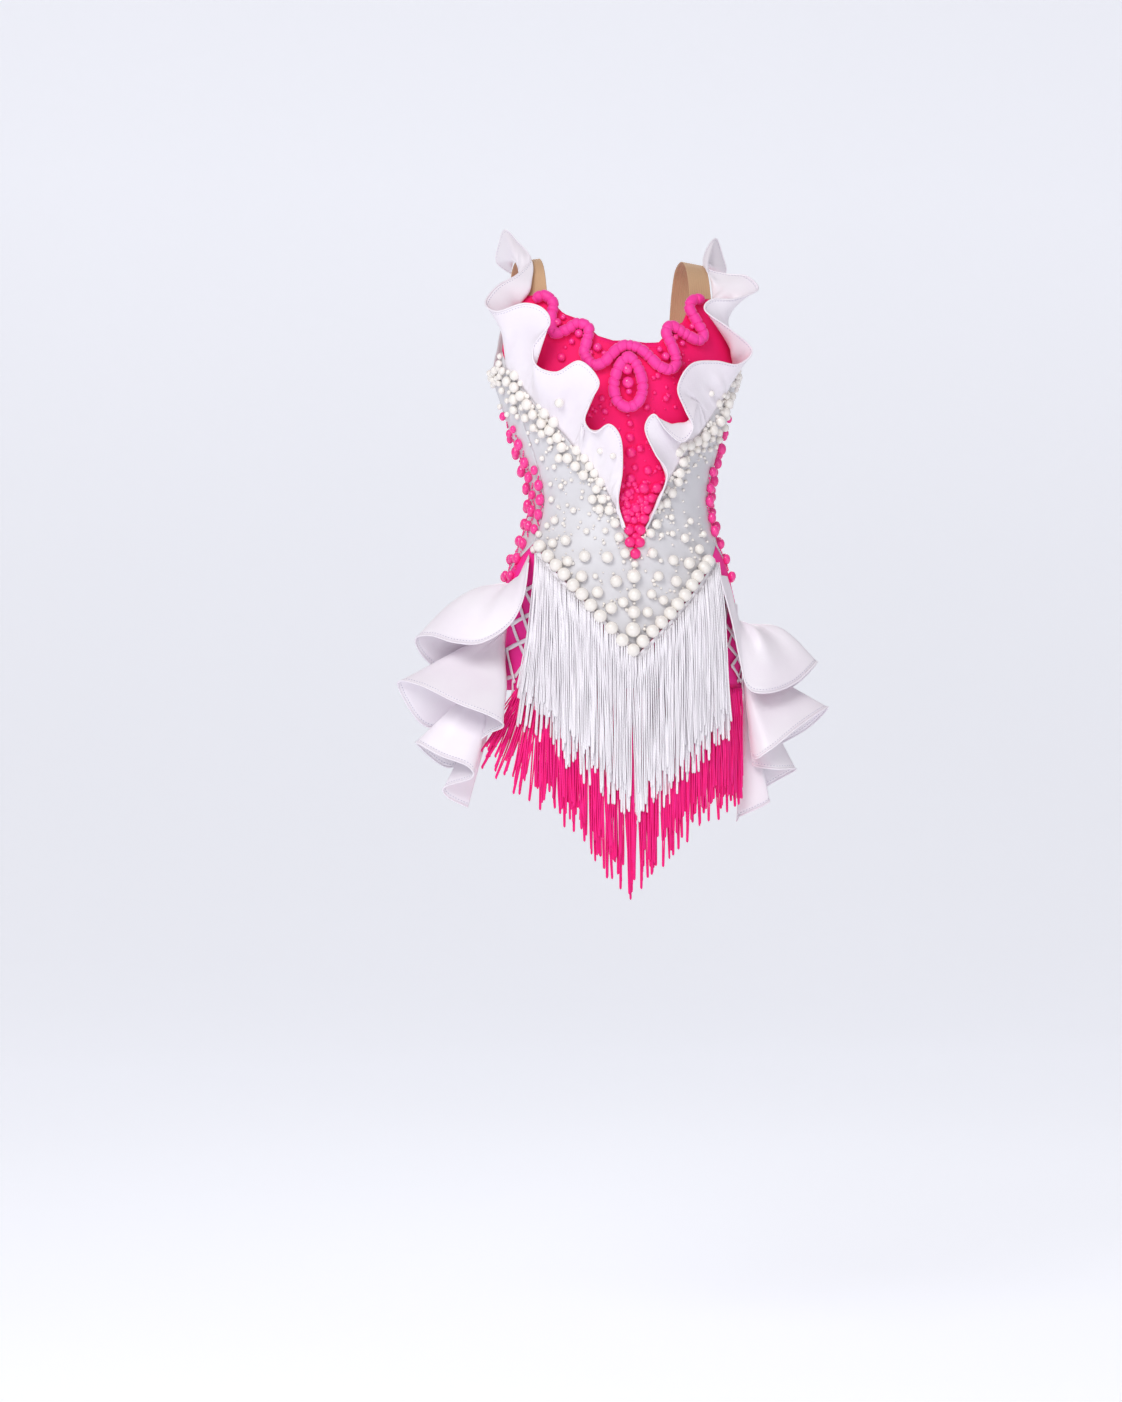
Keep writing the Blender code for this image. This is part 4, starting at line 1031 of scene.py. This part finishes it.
pearlPlaces = {
    "rightBand": (
        (544, 413, 5.2), (541, 423, 5.0), (553, 422, 5.2), (549, 430, 5.2), (557, 437.5, 5.0),
        (561, 447, 5.0), (576, 450, 4.6), (567, 458, 5.0), (584, 458, 4.4), (575, 466, 4.8),
        (589, 466, 4.4), (583, 475, 4.8), (594, 473, 4.2), (600, 482, 4.6), (596, 489, 4.2),
        (592, 499, 4.4), (602, 499, 4.4), (599, 509, 4.4), (609, 510, 4.6), (615, 523, 4.6),
        (619, 537, 4.6), (625, 553, 4.8),
    ),
    "leftBand": (
        (729, 403, 5.2), (726, 412, 5.0), (721, 421, 5.2), (714, 430, 5.0), (706, 436, 5.2),
        (698, 441, 5.0), (691, 445, 5.0), (684, 446, 4.6), (679.5, 452, 4.6), (684, 462, 4.8),
        (680.5, 473, 4.8), (679, 482, 4.4), (672.5, 493, 4.8), (667, 503, 4.6), (660, 505, 4.2),
        (657, 524, 4.8), (651, 533, 4.4), (653, 553, 4.6),
    ),
    "rightCluster": (
        (499.5, 356, 2.8), (498.4, 363.7, 3.4), (494, 370.3, 3.8), (489.2, 373, 3.1), (502, 370.6, 3.8),
        (499.5, 376, 3.4), (514, 375, 4.9), (493, 379.5, 3.8), (498.7, 383, 3.1), (506.4, 381.3, 4.9),
        (491, 383.6, 3.1), (513.7, 387, 5.1), (492.3, 391, 3.1), (501.3, 390.5, 3.4), (495.7, 398.6, 3.1),
        (519.8, 395.6, 5.1), (513.3, 399, 5.1), (506.8, 400.5, 2.8), (526.3, 404.3, 5.4), (499.5, 406.6, 2.8),
        (513.3, 409.6, 4.3), (521.4, 407.3, 3.1), (532.4, 414.5, 4.9), (506.8, 414.2, 2.8),
        (524.7, 417.8, 4.3), (517, 416.5, 2.8), (533, 427.6, 4.0), (541.6, 433.4, 4.3), (550, 440.3, 3.8),
        (558.4, 458, 4.3),
        (527.8, 432.6, 1.8), (536.5, 441, 2.3), (529.6, 444.5, 1.5), (541.6, 458.2, 2.6), (549.2, 448.7, 2.3),
        (546, 452, 1.6), (553.8, 466.7, 2.6), (547, 468.3, 1.4), (550, 484, 2.3), (560.4, 486, 2.8),
        (550.8, 499.2, 3.1), (546.6, 525.2, 3.1), (538.5, 534, 3.4), (533.6, 549.4, 3.8), (508, 372, 2.6),
        (520, 383, 3.0), (509, 392, 2.4), (527, 396, 2.6), (539, 406, 3.2), (547, 405, 3.0),
    ),
    "leftCluster": (
        (739.5, 385.4, 2.8), (737.3, 390.4, 3.4), (737.3, 398.4, 3.6), (732.5, 396.3, 4.2),
        (735.8, 405.6, 3.6),
        (732.5, 415.8, 3.6), (727.8, 417, 3.2), (730.4, 426.2, 3.4), (725.6, 427.7, 3.8), (719.5, 432.5, 3.6),
        (713, 438.6, 3.2), (719.5, 440, 3.4), (704.8, 443.5, 3.8), (722.8, 446, 3.0), (716.3, 447, 2.4),
        (710.8, 449.4, 2.6), (698, 449.5, 3.4), (692, 453, 3.0), (701, 456, 1.8), (707, 462, 1.6),
        (696, 465, 1.8), (689, 471, 2.2), (699, 477, 1.4), (734, 384, 3.2), (727, 396, 3.2),
    ),
    "onRightRuffle": ((559.2, 402.9, 4.8), (600, 451, 3.2), (613, 456, 3.2), (548, 418, 3.0)),
    "onLeftRuffle": ((711.7, 393.5, 3.2), (719.2, 403.4, 4.2), (724, 395, 3.0)),
    "hem": (
        (539, 546), (547, 556), (555, 565), (563, 574), (572, 585), (581, 594), (590, 605),
        (599.5, 616), (611, 628), (622, 640), (633, 650), (643, 641), (653, 631), (662, 622),
        (671, 613), (678.5, 604), (686, 595), (693, 585), (698.5, 576), (705, 567.5), (709, 561),
    ),
    "column": ((635, 564, 3.5), (634, 576, 6.4), (634.6, 594.6, 6.0), (634, 612, 6.0), (633, 629.5, 7.0)),
    "scattered": (
        (554, 520, 4), (565, 540, 5), (552, 543, 4.6), (573, 510, 3), (586, 531, 3),
        (605, 530.5, 3), (584, 556, 5.5), (607, 557, 5.5), (567, 561, 5), (581, 576, 5.5),
        (595, 576, 2.7), (616, 581, 5.7), (597, 592, 5.5), (623, 602, 5), (611, 608, 5.7),
        (653, 553, 4.8), (674, 560, 5), (690, 563, 5.7), (659, 576, 4.8), (677, 581, 5.3),
        (652, 594, 4.6), (664, 600, 4.6), (648, 612, 5), (672, 517, 3), (691, 521, 3.3),
        (662, 535, 2.6), (673, 533.5, 3), (685.5, 538, 4.4), (704, 534, 3.3), (700, 549, 4.8),
    ),
    "vDomes": (
        (630, 423, 3), (630, 437, 4), (631, 452, 5), (635, 467, 3), (631, 478, 4), (644, 488, 5),
        (657, 488, 5), (641, 500, 3), (652, 498, 4.5), (647, 509, 4.6), (627, 518, 4), (644, 519, 4.6),
        (629, 530, 4.6), (641, 530, 4.6), (635, 536, 3), (630, 542, 5), (640, 542, 5), (635.5, 553.6, 5),
        (561, 357, 4), (658, 375, 3), (666, 398, 3), (647, 407, 3), (605, 411, 3), (602, 398, 3),
        (628, 493, 4), (636, 508, 4.4), (648, 470, 4), (622, 466, 3.4), (640, 448, 3.4), (634, 520, 3.6),
    ),
    "neckBeads": (
        (627, 369, 5), (628, 382, 5.4), (629, 391, 3), (556, 322, 4), (578, 333, 4), (597, 347, 4),
        (676, 337, 3), (666, 356, 4), (562, 317, 2.6), (571, 341, 2.8), (604, 353, 2.8), (683, 343, 2.8),
        (693, 326, 2.8), (660, 349, 2.8), (590, 352, 2.6),
    ),
    "hemRadius": 6.2,
    "grown": 1.08,  # every placed pearl against the size in the table
    "bandFill": 60,  # how many small ones are scattered over each part
    "seeds": 190,
    "pointDomes": 70,
    "smallDomes": 150,
}


def beadAt(pile, px, py, radius, size="medium", flat=0.9, sunk=0.55):
    real = radius * pixel["size"] * pearlPlaces["grown"]
    addBead(pile, seen(*fromPixel(px, py), real * sunk + 0.6), real, size, flat)


def makeHemPearls():
    hem = Pile()
    places = pearlPlaces["hem"]
    radius = pearlPlaces["hemRadius"]
    for px, py in places:
        beadAt(hem, px, py, radius, "large", 0.95, 0.7)
    for (ax, ay), (bx, by) in zip(places, places[1:]):  # seed beads where two pearls meet
        for sign in (-1, 1):
            beadAt(hem, (ax + bx) / 2, (ay + by) / 2 + sign * radius, 1.5, "small")
    hem.finish("pearl_hem", "pearl")


def makePearlBand(side, key, name):
    band = Pile()
    drawn = random.Random(31 + side)
    for px, py, radius in pearlPlaces[key + "Band"]:
        beadAt(band, px, py, radius)
        if drawn.random() < 0.8:
            nearX, nearY = px + drawn.uniform(-9, 9), py + drawn.uniform(5, 10)
            beadAt(band, nearX, nearY, drawn.uniform(1.3, 2.4), "small")
    for px, py, radius in pearlPlaces[key + "Cluster"]:
        beadAt(band, px, py, radius)
    for _ in range(pearlPlaces["bandFill"]):  # in a band that narrows toward the point of the V
        share = drawn.random() ** 1.4
        angle = seams["centre"] + side * (63 - 58 * share)
        below = drawn.uniform(3.0, 24.0 - 14.0 * share)
        radius = drawn.uniform(2.0, 3.7)
        addBead(band, form(angle, vSeam(angle) - below, radius * 0.5), radius, "small", 0.9)
    for lane, count in ((0, 7), (1, 6)):  # more of them round the side, under the arm
        for i in range(count):
            angle = side * (70.0 + 3.4 * i + 1.6 * lane + drawn.uniform(-0.6, 0.6))
            edge = straightBetween(seams["underarm"], abs(angle))
            up = edge - 8.0 - 9.0 * lane + drawn.uniform(-1.5, 1.5)
            radius = drawn.uniform(3.6, 4.8)
            addBead(band, form(angle, up, radius * 0.55 + 0.6), radius, "medium", 0.9)
    band.finish(name, "pearl")


def makeRufflePearls(key):  # sewn where the sight line meets the satin
    sewn = Pile()
    ruffle = bpy.data.objects["shoulder_ruffle_" + key + "_finished"]
    for px, py, radius in pearlPlaces["on" + key.capitalize() + "Ruffle"]:
        aim = sight(*fromPixel(px, py))
        hit, spot, _, _ = ruffle.ray_cast(eye * mm, (aim - eye).normalized())
        if hit:
            addBead(sewn, spot / mm + toward * radius * 0.5, radius * pixel["size"], "medium", 0.9)
    sewn.finish("ruffle_pearls_" + key, "pearl")


def makeCentrePearls():
    column = Pile()
    places = pearlPlaces["column"]
    for px, py, radius in places:
        beadAt(column, px, py, radius, "large", 0.9, 0.6)
    for (_, upper, r1), (_, lower, r2) in zip(places, places[1:]):
        beadAt(column, 634.3, (upper + r1 + lower - r2) / 2, 1.6, "small")
    column.finish("pearl_column", "pearl")


def makeScatteredPearls():
    loose = Pile()
    drawn = random.Random(37)
    for px, py, radius in pearlPlaces["scattered"]:
        beadAt(loose, px, py, radius)
    for _ in range(pearlPlaces["seeds"]):  # seed beads between the pearls, thicker near the V and the hem
        angle = drawn.uniform(-56, 54)
        upper, lower = vSeam(angle) - 16, pearlHem(angle) + 10
        if upper - lower < 12:
            continue
        share = drawn.random()
        share = share**1.6 if drawn.random() < 0.5 else 1 - share**1.6
        radius = drawn.choice((1.1, 1.3, 1.6, 2.0, 2.6))
        addBead(loose, form(angle, lower + (upper - lower) * share, radius * 0.5), radius, "small")
    loose.finish("bodice_scattered_pearls", "pearl")


def makeDomes():
    domes = Pile()
    for px, py, radius in pearlPlaces["vDomes"]:
        beadAt(domes, px, py, radius, "medium", 0.7, 0.3)
    drawn = random.Random(38)
    for _ in range(pearlPlaces["pointDomes"]):  # packed toward the point of the V
        angle = seams["centre"] + drawn.uniform(-9, 9)
        lower = vSeam(angle) + 5
        up = lower + (-282 - lower) * drawn.random() ** 1.3
        radius = drawn.uniform(2.4, 4.6)
        if lower < -290:
            addBead(domes, form(angle, up, radius * 0.25), radius, "medium", 0.7)
    for _ in range(pearlPlaces["smallDomes"]):  # thinner toward the neck
        angle = drawn.uniform(-30, 30)
        lower = vSeam(angle) + 8
        upper = straightBetween(seams["neck"], angle) - 30
        if upper < lower + 10:
            continue
        share = drawn.random() ** 1.7
        radius = drawn.choice((1.2, 1.5, 1.9, 2.6, 3.4))
        addBead(domes, form(angle, lower + (upper - lower) * share, radius * 0.2), radius, "small", 0.7)
    domes.finish("v_panel_beads", "pink_dome")


def makeNeckBeads():
    trim = Pile()
    for px, py, radius in pearlPlaces["neckBeads"]:
        beadAt(trim, px, py, radius, "medium", 0.9, 0.8)
    trim.finish("neckline_beads", "pink_bead")


makeHemPearls()
bpy.context.view_layer.update()
for side, key in ((-1, "right"), (1, "left")):
    makePearlBand(side, key, "pearl_band_" + key)
    makeRufflePearls(key)
makeCentrePearls()
makeScatteredPearls()
makeDomes()
makeNeckBeads()


sideColumns = {
    "rows": (  # angle, first up, last up
        (67.5, -266.0, -342.0),
        (78.0, -214.0, -398.0),
        (89.0, -196.0, -398.0),
        (100.0, -222.0, -398.0),
    ),
    "pitch": 21.5,
    "halfLong": 7.3,
    "halfWide": 5.7,
    "upper": (-225.0, 0.8),  # above this level the beads are smaller, by this share
    "joiner": (-2.6, 0.0, 2.6),  # three small beads between two large ones
}


def makeSideBeads():
    level, smaller = sideColumns["upper"]
    longer = sideColumns["halfLong"] / sideColumns["halfWide"]
    for name, side in (("side_beads_right", -1), ("side_beads_left", 1)):
        pile = Pile()
        drawn = random.Random(41 + side)
        for column, (angle, top, bottom) in enumerate(sideColumns["rows"]):
            count = round((top - bottom) / sideColumns["pitch"])
            for i in range(count + 1):
                up = top + (bottom - top) * i / count + drawn.uniform(-1.5, 1.5)
                here = side * (angle + drawn.uniform(-0.7, 0.7))
                size = drawn.uniform(0.88, 1.08) * (smaller if up > level else 1.0)
                wide = sideColumns["halfWide"] * size
                tall = longer * drawn.uniform(0.94, 1.06)
                lean = Vector((drawn.uniform(-0.15, 0.15), drawn.uniform(-0.15, 0.15), 1.0))
                addBead(pile, form(here, up, wide * 0.62 + 0.5), wide, "medium", 0.95, tall, lean)
                if i == count:
                    continue
                for step in sideColumns["joiner"]:
                    nudge = side * step * (0.55 if (i + column) % 2 else -0.55)
                    spot = form(here + nudge, up - sideColumns["pitch"] / 2 + step, 1.4)
                    addBead(pile, spot, drawn.uniform(0.9, 1.3), "small", 0.9, 1.5)
        pile.finish(name, "pink_bead")


makeSideBeads()
print("beads done")

# Lacing: two flat tapes crossing over each hip

lacing = {
    "rightUnder": ((-63, -414), (-50, -445), (-69, -461), (-55.5, -507), (-65.5, -526), (-74, -529)),
    "rightOver": ((-51, -410), (-66, -424), (-52.5, -479), (-72.5, -493), (-66.5, -533)),
    "leftUnder": ((53, -424), (66, -448), (54, -487), (72, -513), (65, -533)),
    "leftOver": ((58, -430), (52, -461), (69, -494), (56, -513), (68, -532)),
    "wide": 5.2,
    "thick": 0.7,
    "past": 0.06,  # share of a leg that runs on past its corner
    "knot": 2.4,
    "tail": 17.0,
    "steps": 16,
    "corners": 5,  # of the tape's section
}


def makeTape(name, corners, lifted):
    pile = Pile()
    past, steps = lacing["past"], lacing["steps"]
    for leg, ((a, b), (c, d)) in enumerate(zip(corners, corners[1:])):
        low = 0.5 + lifted * 1.5 + (leg % 2) * 0.35
        path = []
        for step in range(steps + 1):
            share = -past + (1 + 2 * past) * step / steps
            sag = 0.35 * math.sin(math.pi * step / steps) * lifted
            path.append(form(a + (c - a) * share, b + (d - b) * share, low - sag))
        points = []
        for index, spot in enumerate(path):
            ahead = path[min(index + 1, steps)] - path[max(index - 1, 0)]
            out = outOf(spot)
            wide = lacing["wide"] * (1 + 0.08 * math.sin(index * 0.9 + leg * 2.0))
            side = ahead.cross(out).normalized() * wide / 2
            thick = out * lacing["thick"]
            shoulder = thick * 0.7
            points += [spot - side, spot + side, spot + side + shoulder, spot + thick, spot - side + shoulder]
        faces = gridFaces(steps + 1, lacing["corners"], ring=True)
        last = steps * lacing["corners"]
        faces += [tuple(range(lacing["corners"])), tuple(reversed(range(last, last + lacing["corners"])))]
        pile.add(points, faces)
    if lifted:  # the knot and two short tails at the lower end
        end = form(*corners[-1], 2.6)
        addBead(pile, end, lacing["knot"])
        for lean in (-3.5, 4.5):
            tail = []
            for step in range(7):
                share = step / 6
                spot = end + Vector((lean * share, 0, -lacing["tail"] * share))
                tail.append(ontoForm(spot, 4.6 + 1.4 * share))
            pile.add(*tubePoints(tail, 0.9, 6))
    pile.finish(name, "white_tape")


for side in ("right", "left"):
    makeTape("lacing_" + side + "_under", lacing[side + "Under"], 0)
    makeTape("lacing_" + side + "_over", lacing[side + "Over"], 1)
print("lacing done")

# Fringe: a narrow woven heading with looped strands

fringeCommon = {
    "loops": 330,
    "layers": 3,
    "layerGap": 2.2,
    "heading": 6.0,
    "headingSteps": 120,
    "cords": (0.0, 2.0, 4.0),  # how far each cord of the heading hangs below its top
    "strandSteps": 15,
    "flareShare": 0.22,
    "hipLevel": -500.0,
    "tipOut": 8.0,
}
whiteFringe = {
    **fringeCommon,
    "angles": (-58.0, 53.0),
    "off": 3.4,
    "radius": 0.85,
    "spreadLegs": 1.5,
    "sway": 5.0,
    "clumps": 44,
    "drawnIn": 0.30,
    "uneven": (-48.0, 4.0),  # most loops end short of the tips, a few reach them
    "flares": (-27.0, 14.0),
    "tips": (
        (-120, -584), (-87, -608), (-55, -640), (-28, -663), (-3, -690), (27, -717), (51, -701),
        (74, -678), (95, -654), (118, -631), (142, -604), (170, -572),
    ),
}
pinkFringe = {
    **fringeCommon,
    "angles": (-64.0, 64.0),
    "off": 0.8,
    "radius": 1.0,
    "spreadLegs": 1.8,
    "sway": 7.0,
    "clumps": 40,
    "drawnIn": 0.36,
    "uneven": (-42.0, 6.0),
    "flares": (-46.0, 3.0),
    "tips": (
        (-160, -634), (-132, -663), (-105, -684), (-64, -710), (-23, -754), (-3, -776),
        (22, -799), (56, -763), (95, -731), (136, -699), (180, -675),
    ),
}


def hung(root, up, sway, out):
    width, front, _, shift = smoothBetween(sections, max(up, fringeCommon["hipLevel"]))
    x = root.x + sway
    share = min(abs(x - shift) / (width + out), 0.98)
    return Vector((x, min(root.y - 0.6, -(front + out) * math.sqrt(1 - share**2)), up))


def makeHeading(pile, cut, top):
    first, last = cut["angles"]
    steps = cut["headingSteps"]
    angles = [first + (last - first) * i / steps for i in range(steps + 1)]
    heading = [form(angle, top(angle), 0) for angle in angles]
    for lift in cut["cords"]:
        line = [ontoForm(spot - Vector((0, 0, lift + 0.8)), cut["off"] + 0.8) for spot in heading]
        pile.add(*tubePoints(line, 0.95, 6))


def loopPath(left, right, spreadLegs):  # down one leg, round the end, up the other
    end = (left[-1] + right[-1]) / 2
    wide = (right[-1] - left[-1]) / 2
    turned = []
    for turnStep in (1, 2, 3):
        around = math.pi * turnStep / 4
        below = Vector((0, 0, spreadLegs * 1.3 * math.sin(around)))
        turned.append(end - wide * math.cos(around) - below)
    return left + turned + right[::-1]


def makeFringe(name, cut, top, look, seed):
    drawn = random.Random(seed)
    first, last = cut["angles"]
    short, past = cut["uneven"]
    pile = Pile()
    makeHeading(pile, cut, top)
    steps = cut["strandSteps"]
    for index in range(cut["loops"]):
        layer = index % cut["layers"]
        share = (index + drawn.uniform(-0.3, 0.3) + 0.5) / cut["loops"]
        share = min(max(share, 0.002), 0.998)
        angle = first + (last - first) * share
        off = cut["off"] + 0.4 + layer * cut["layerGap"]
        root = form(angle, top(angle) - cut["heading"] + 1.5, off)
        clump = min(int(share * cut["clumps"]), cut["clumps"] - 1)
        middle = form(first + (last - first) * (clump + 0.5) / cut["clumps"], root.z)
        drift = noise.noise(Vector((clump * 0.7, seed, 0.0)))
        sway = cut["drawnIn"] * (middle.x - root.x) + cut["sway"] * drift
        sway += drawn.uniform(-2.2, 2.2)
        for flare, inward in zip(cut["flares"], (share, 1 - share)):
            sway += flare * max(0.0, 1 - inward / cut["flareShare"]) ** 1.5
        across = root.dot(rightward) + sway * 0.9
        tip = straightBetween(cut["tips"], across)
        long = root.z - tip + short + (past - short) * drawn.random() ** 1.8
        long += 7.0 * noise.noise(Vector((clump * 1.3, seed, 4.0)))
        phase = drawn.uniform(0, 2 * math.pi)
        facing = drawn.uniform(-0.7, 0.7)
        bend = drawn.uniform(-1.6, 1.6)
        legs = []
        for leg in (-1, 1):
            line = []
            for step in range(steps + 1):
                s = step / steps
                apart = cut["spreadLegs"] * min(1.0, s * 4.0) * (1 - 0.6 * s**3) * leg
                drift = sway * s**1.25 + bend * math.sin(s * 5.0 + phase)
                spot = hung(root, root.z - long * s, drift, off + cut["tipOut"] * s)
                spot.x += apart * math.cos(facing)
                spot.y += apart * math.sin(facing) + 0.5 * math.sin(s * 9.0 + phase)
                line.append(spot)
            legs.append(line)
        pile.add(*tubePoints(loopPath(*legs, cut["spreadLegs"]), cut["radius"], 4))
    pile.finish(name, look)


makeFringe("fringe_white", whiteFringe, lambda a: pearlHem(a) - 5.0, "white_fringe", 51)
makeFringe("fringe_pink", pinkFringe, lambda a: seams["yokeHem"] + 6.5, "pink_fringe", 52)
print("fringe done")

# Plain pale floor, backdrop and soft studio light, in metres

studio = {
    "floorUp": -1.44,
    "halfWide": 12.0,
    "wall": 6.5,  # behind the dress, so far that a view from behind stands in front of it
    "wallTop": 6.0,
    "bend": 2.5,
    "bendSteps": 12,
    "floorColour": (0.80, 0.815, 0.85),
    "warmer": 1.03,
    "floorGlow": (0.89, 0.90, 0.96),
    "floorGlowStrength": 0.42,
    "air": (0.90, 0.88, 0.92),
    "airStrength": 0.39,
    "lights": (  # name, power, size, place
        ("key_light", 60.0, 1.6, (-1.6, -2.6, 1.4)),
        ("fill_light", 12.0, 2.0, (0.6, -3.2, -0.1)),
        ("rim_light", 14.0, 1.2, (0.6, 1.9, 1.5)),
    ),
    "lightAim": (0, 0, -0.4),
}


def makeFloor():
    bend, start = studio["bend"], studio["wall"] - studio["bend"]
    half, steps = studio["halfWide"], studio["bendSteps"]
    profile = [(-half, 0.0), (start, 0.0)]
    for step in range(1, steps + 1):
        around = math.pi / 2 * step / steps
        profile.append((start + bend * math.sin(around), bend * (1 - math.cos(around))))
    profile.append((studio["wall"], studio["wallTop"]))
    points = [(x, y, studio["floorUp"] + up) for y, up in profile for x in (-half, half)]
    mesh = bpy.data.meshes.new("floor")
    mesh.from_pydata(points, [], gridFaces(len(profile), 2))
    mesh.shade_smooth()
    floor = bpy.data.objects.new("floor", mesh)
    bpy.context.scene.collection.objects.link(floor)
    made, tree, shader, place = emptyMaterial("pale_floor")
    warm = tuple(value * studio["warmer"] for value in studio["floorColour"])
    colour = place.cloud(0.8).blend(rgb(studio["floorColour"]), rgb(warm))
    glow = {"Emission Color": rgb(studio["floorGlow"]), "Emission Strength": studio["floorGlowStrength"]}
    feed(tree, shader, {"Base Color": colour}, {"Roughness": 0.7, **glow})
    mesh.materials.append(made)


def makeLight():
    world = bpy.data.worlds.new("soft_air")
    world.use_nodes = True
    background = world.node_tree.nodes["Background"]
    background.inputs["Color"].default_value = rgb(studio["air"])
    background.inputs["Strength"].default_value = studio["airStrength"]
    bpy.context.scene.world = world
    for name, power, size, place in studio["lights"]:
        lamp = bpy.data.lights.new(name, "AREA")
        lamp.energy = power
        lamp.size = size
        light = bpy.data.objects.new(name, lamp)
        light.location = place
        aim = Vector(studio["lightAim"]) - Vector(place)
        light.rotation_euler = aim.to_track_quat("-Z", "Y").to_euler()
        bpy.context.scene.collection.objects.link(light)
    bpy.context.scene.view_settings.view_transform = "Standard"


makeFloor()
makeLight()
print("studio done")
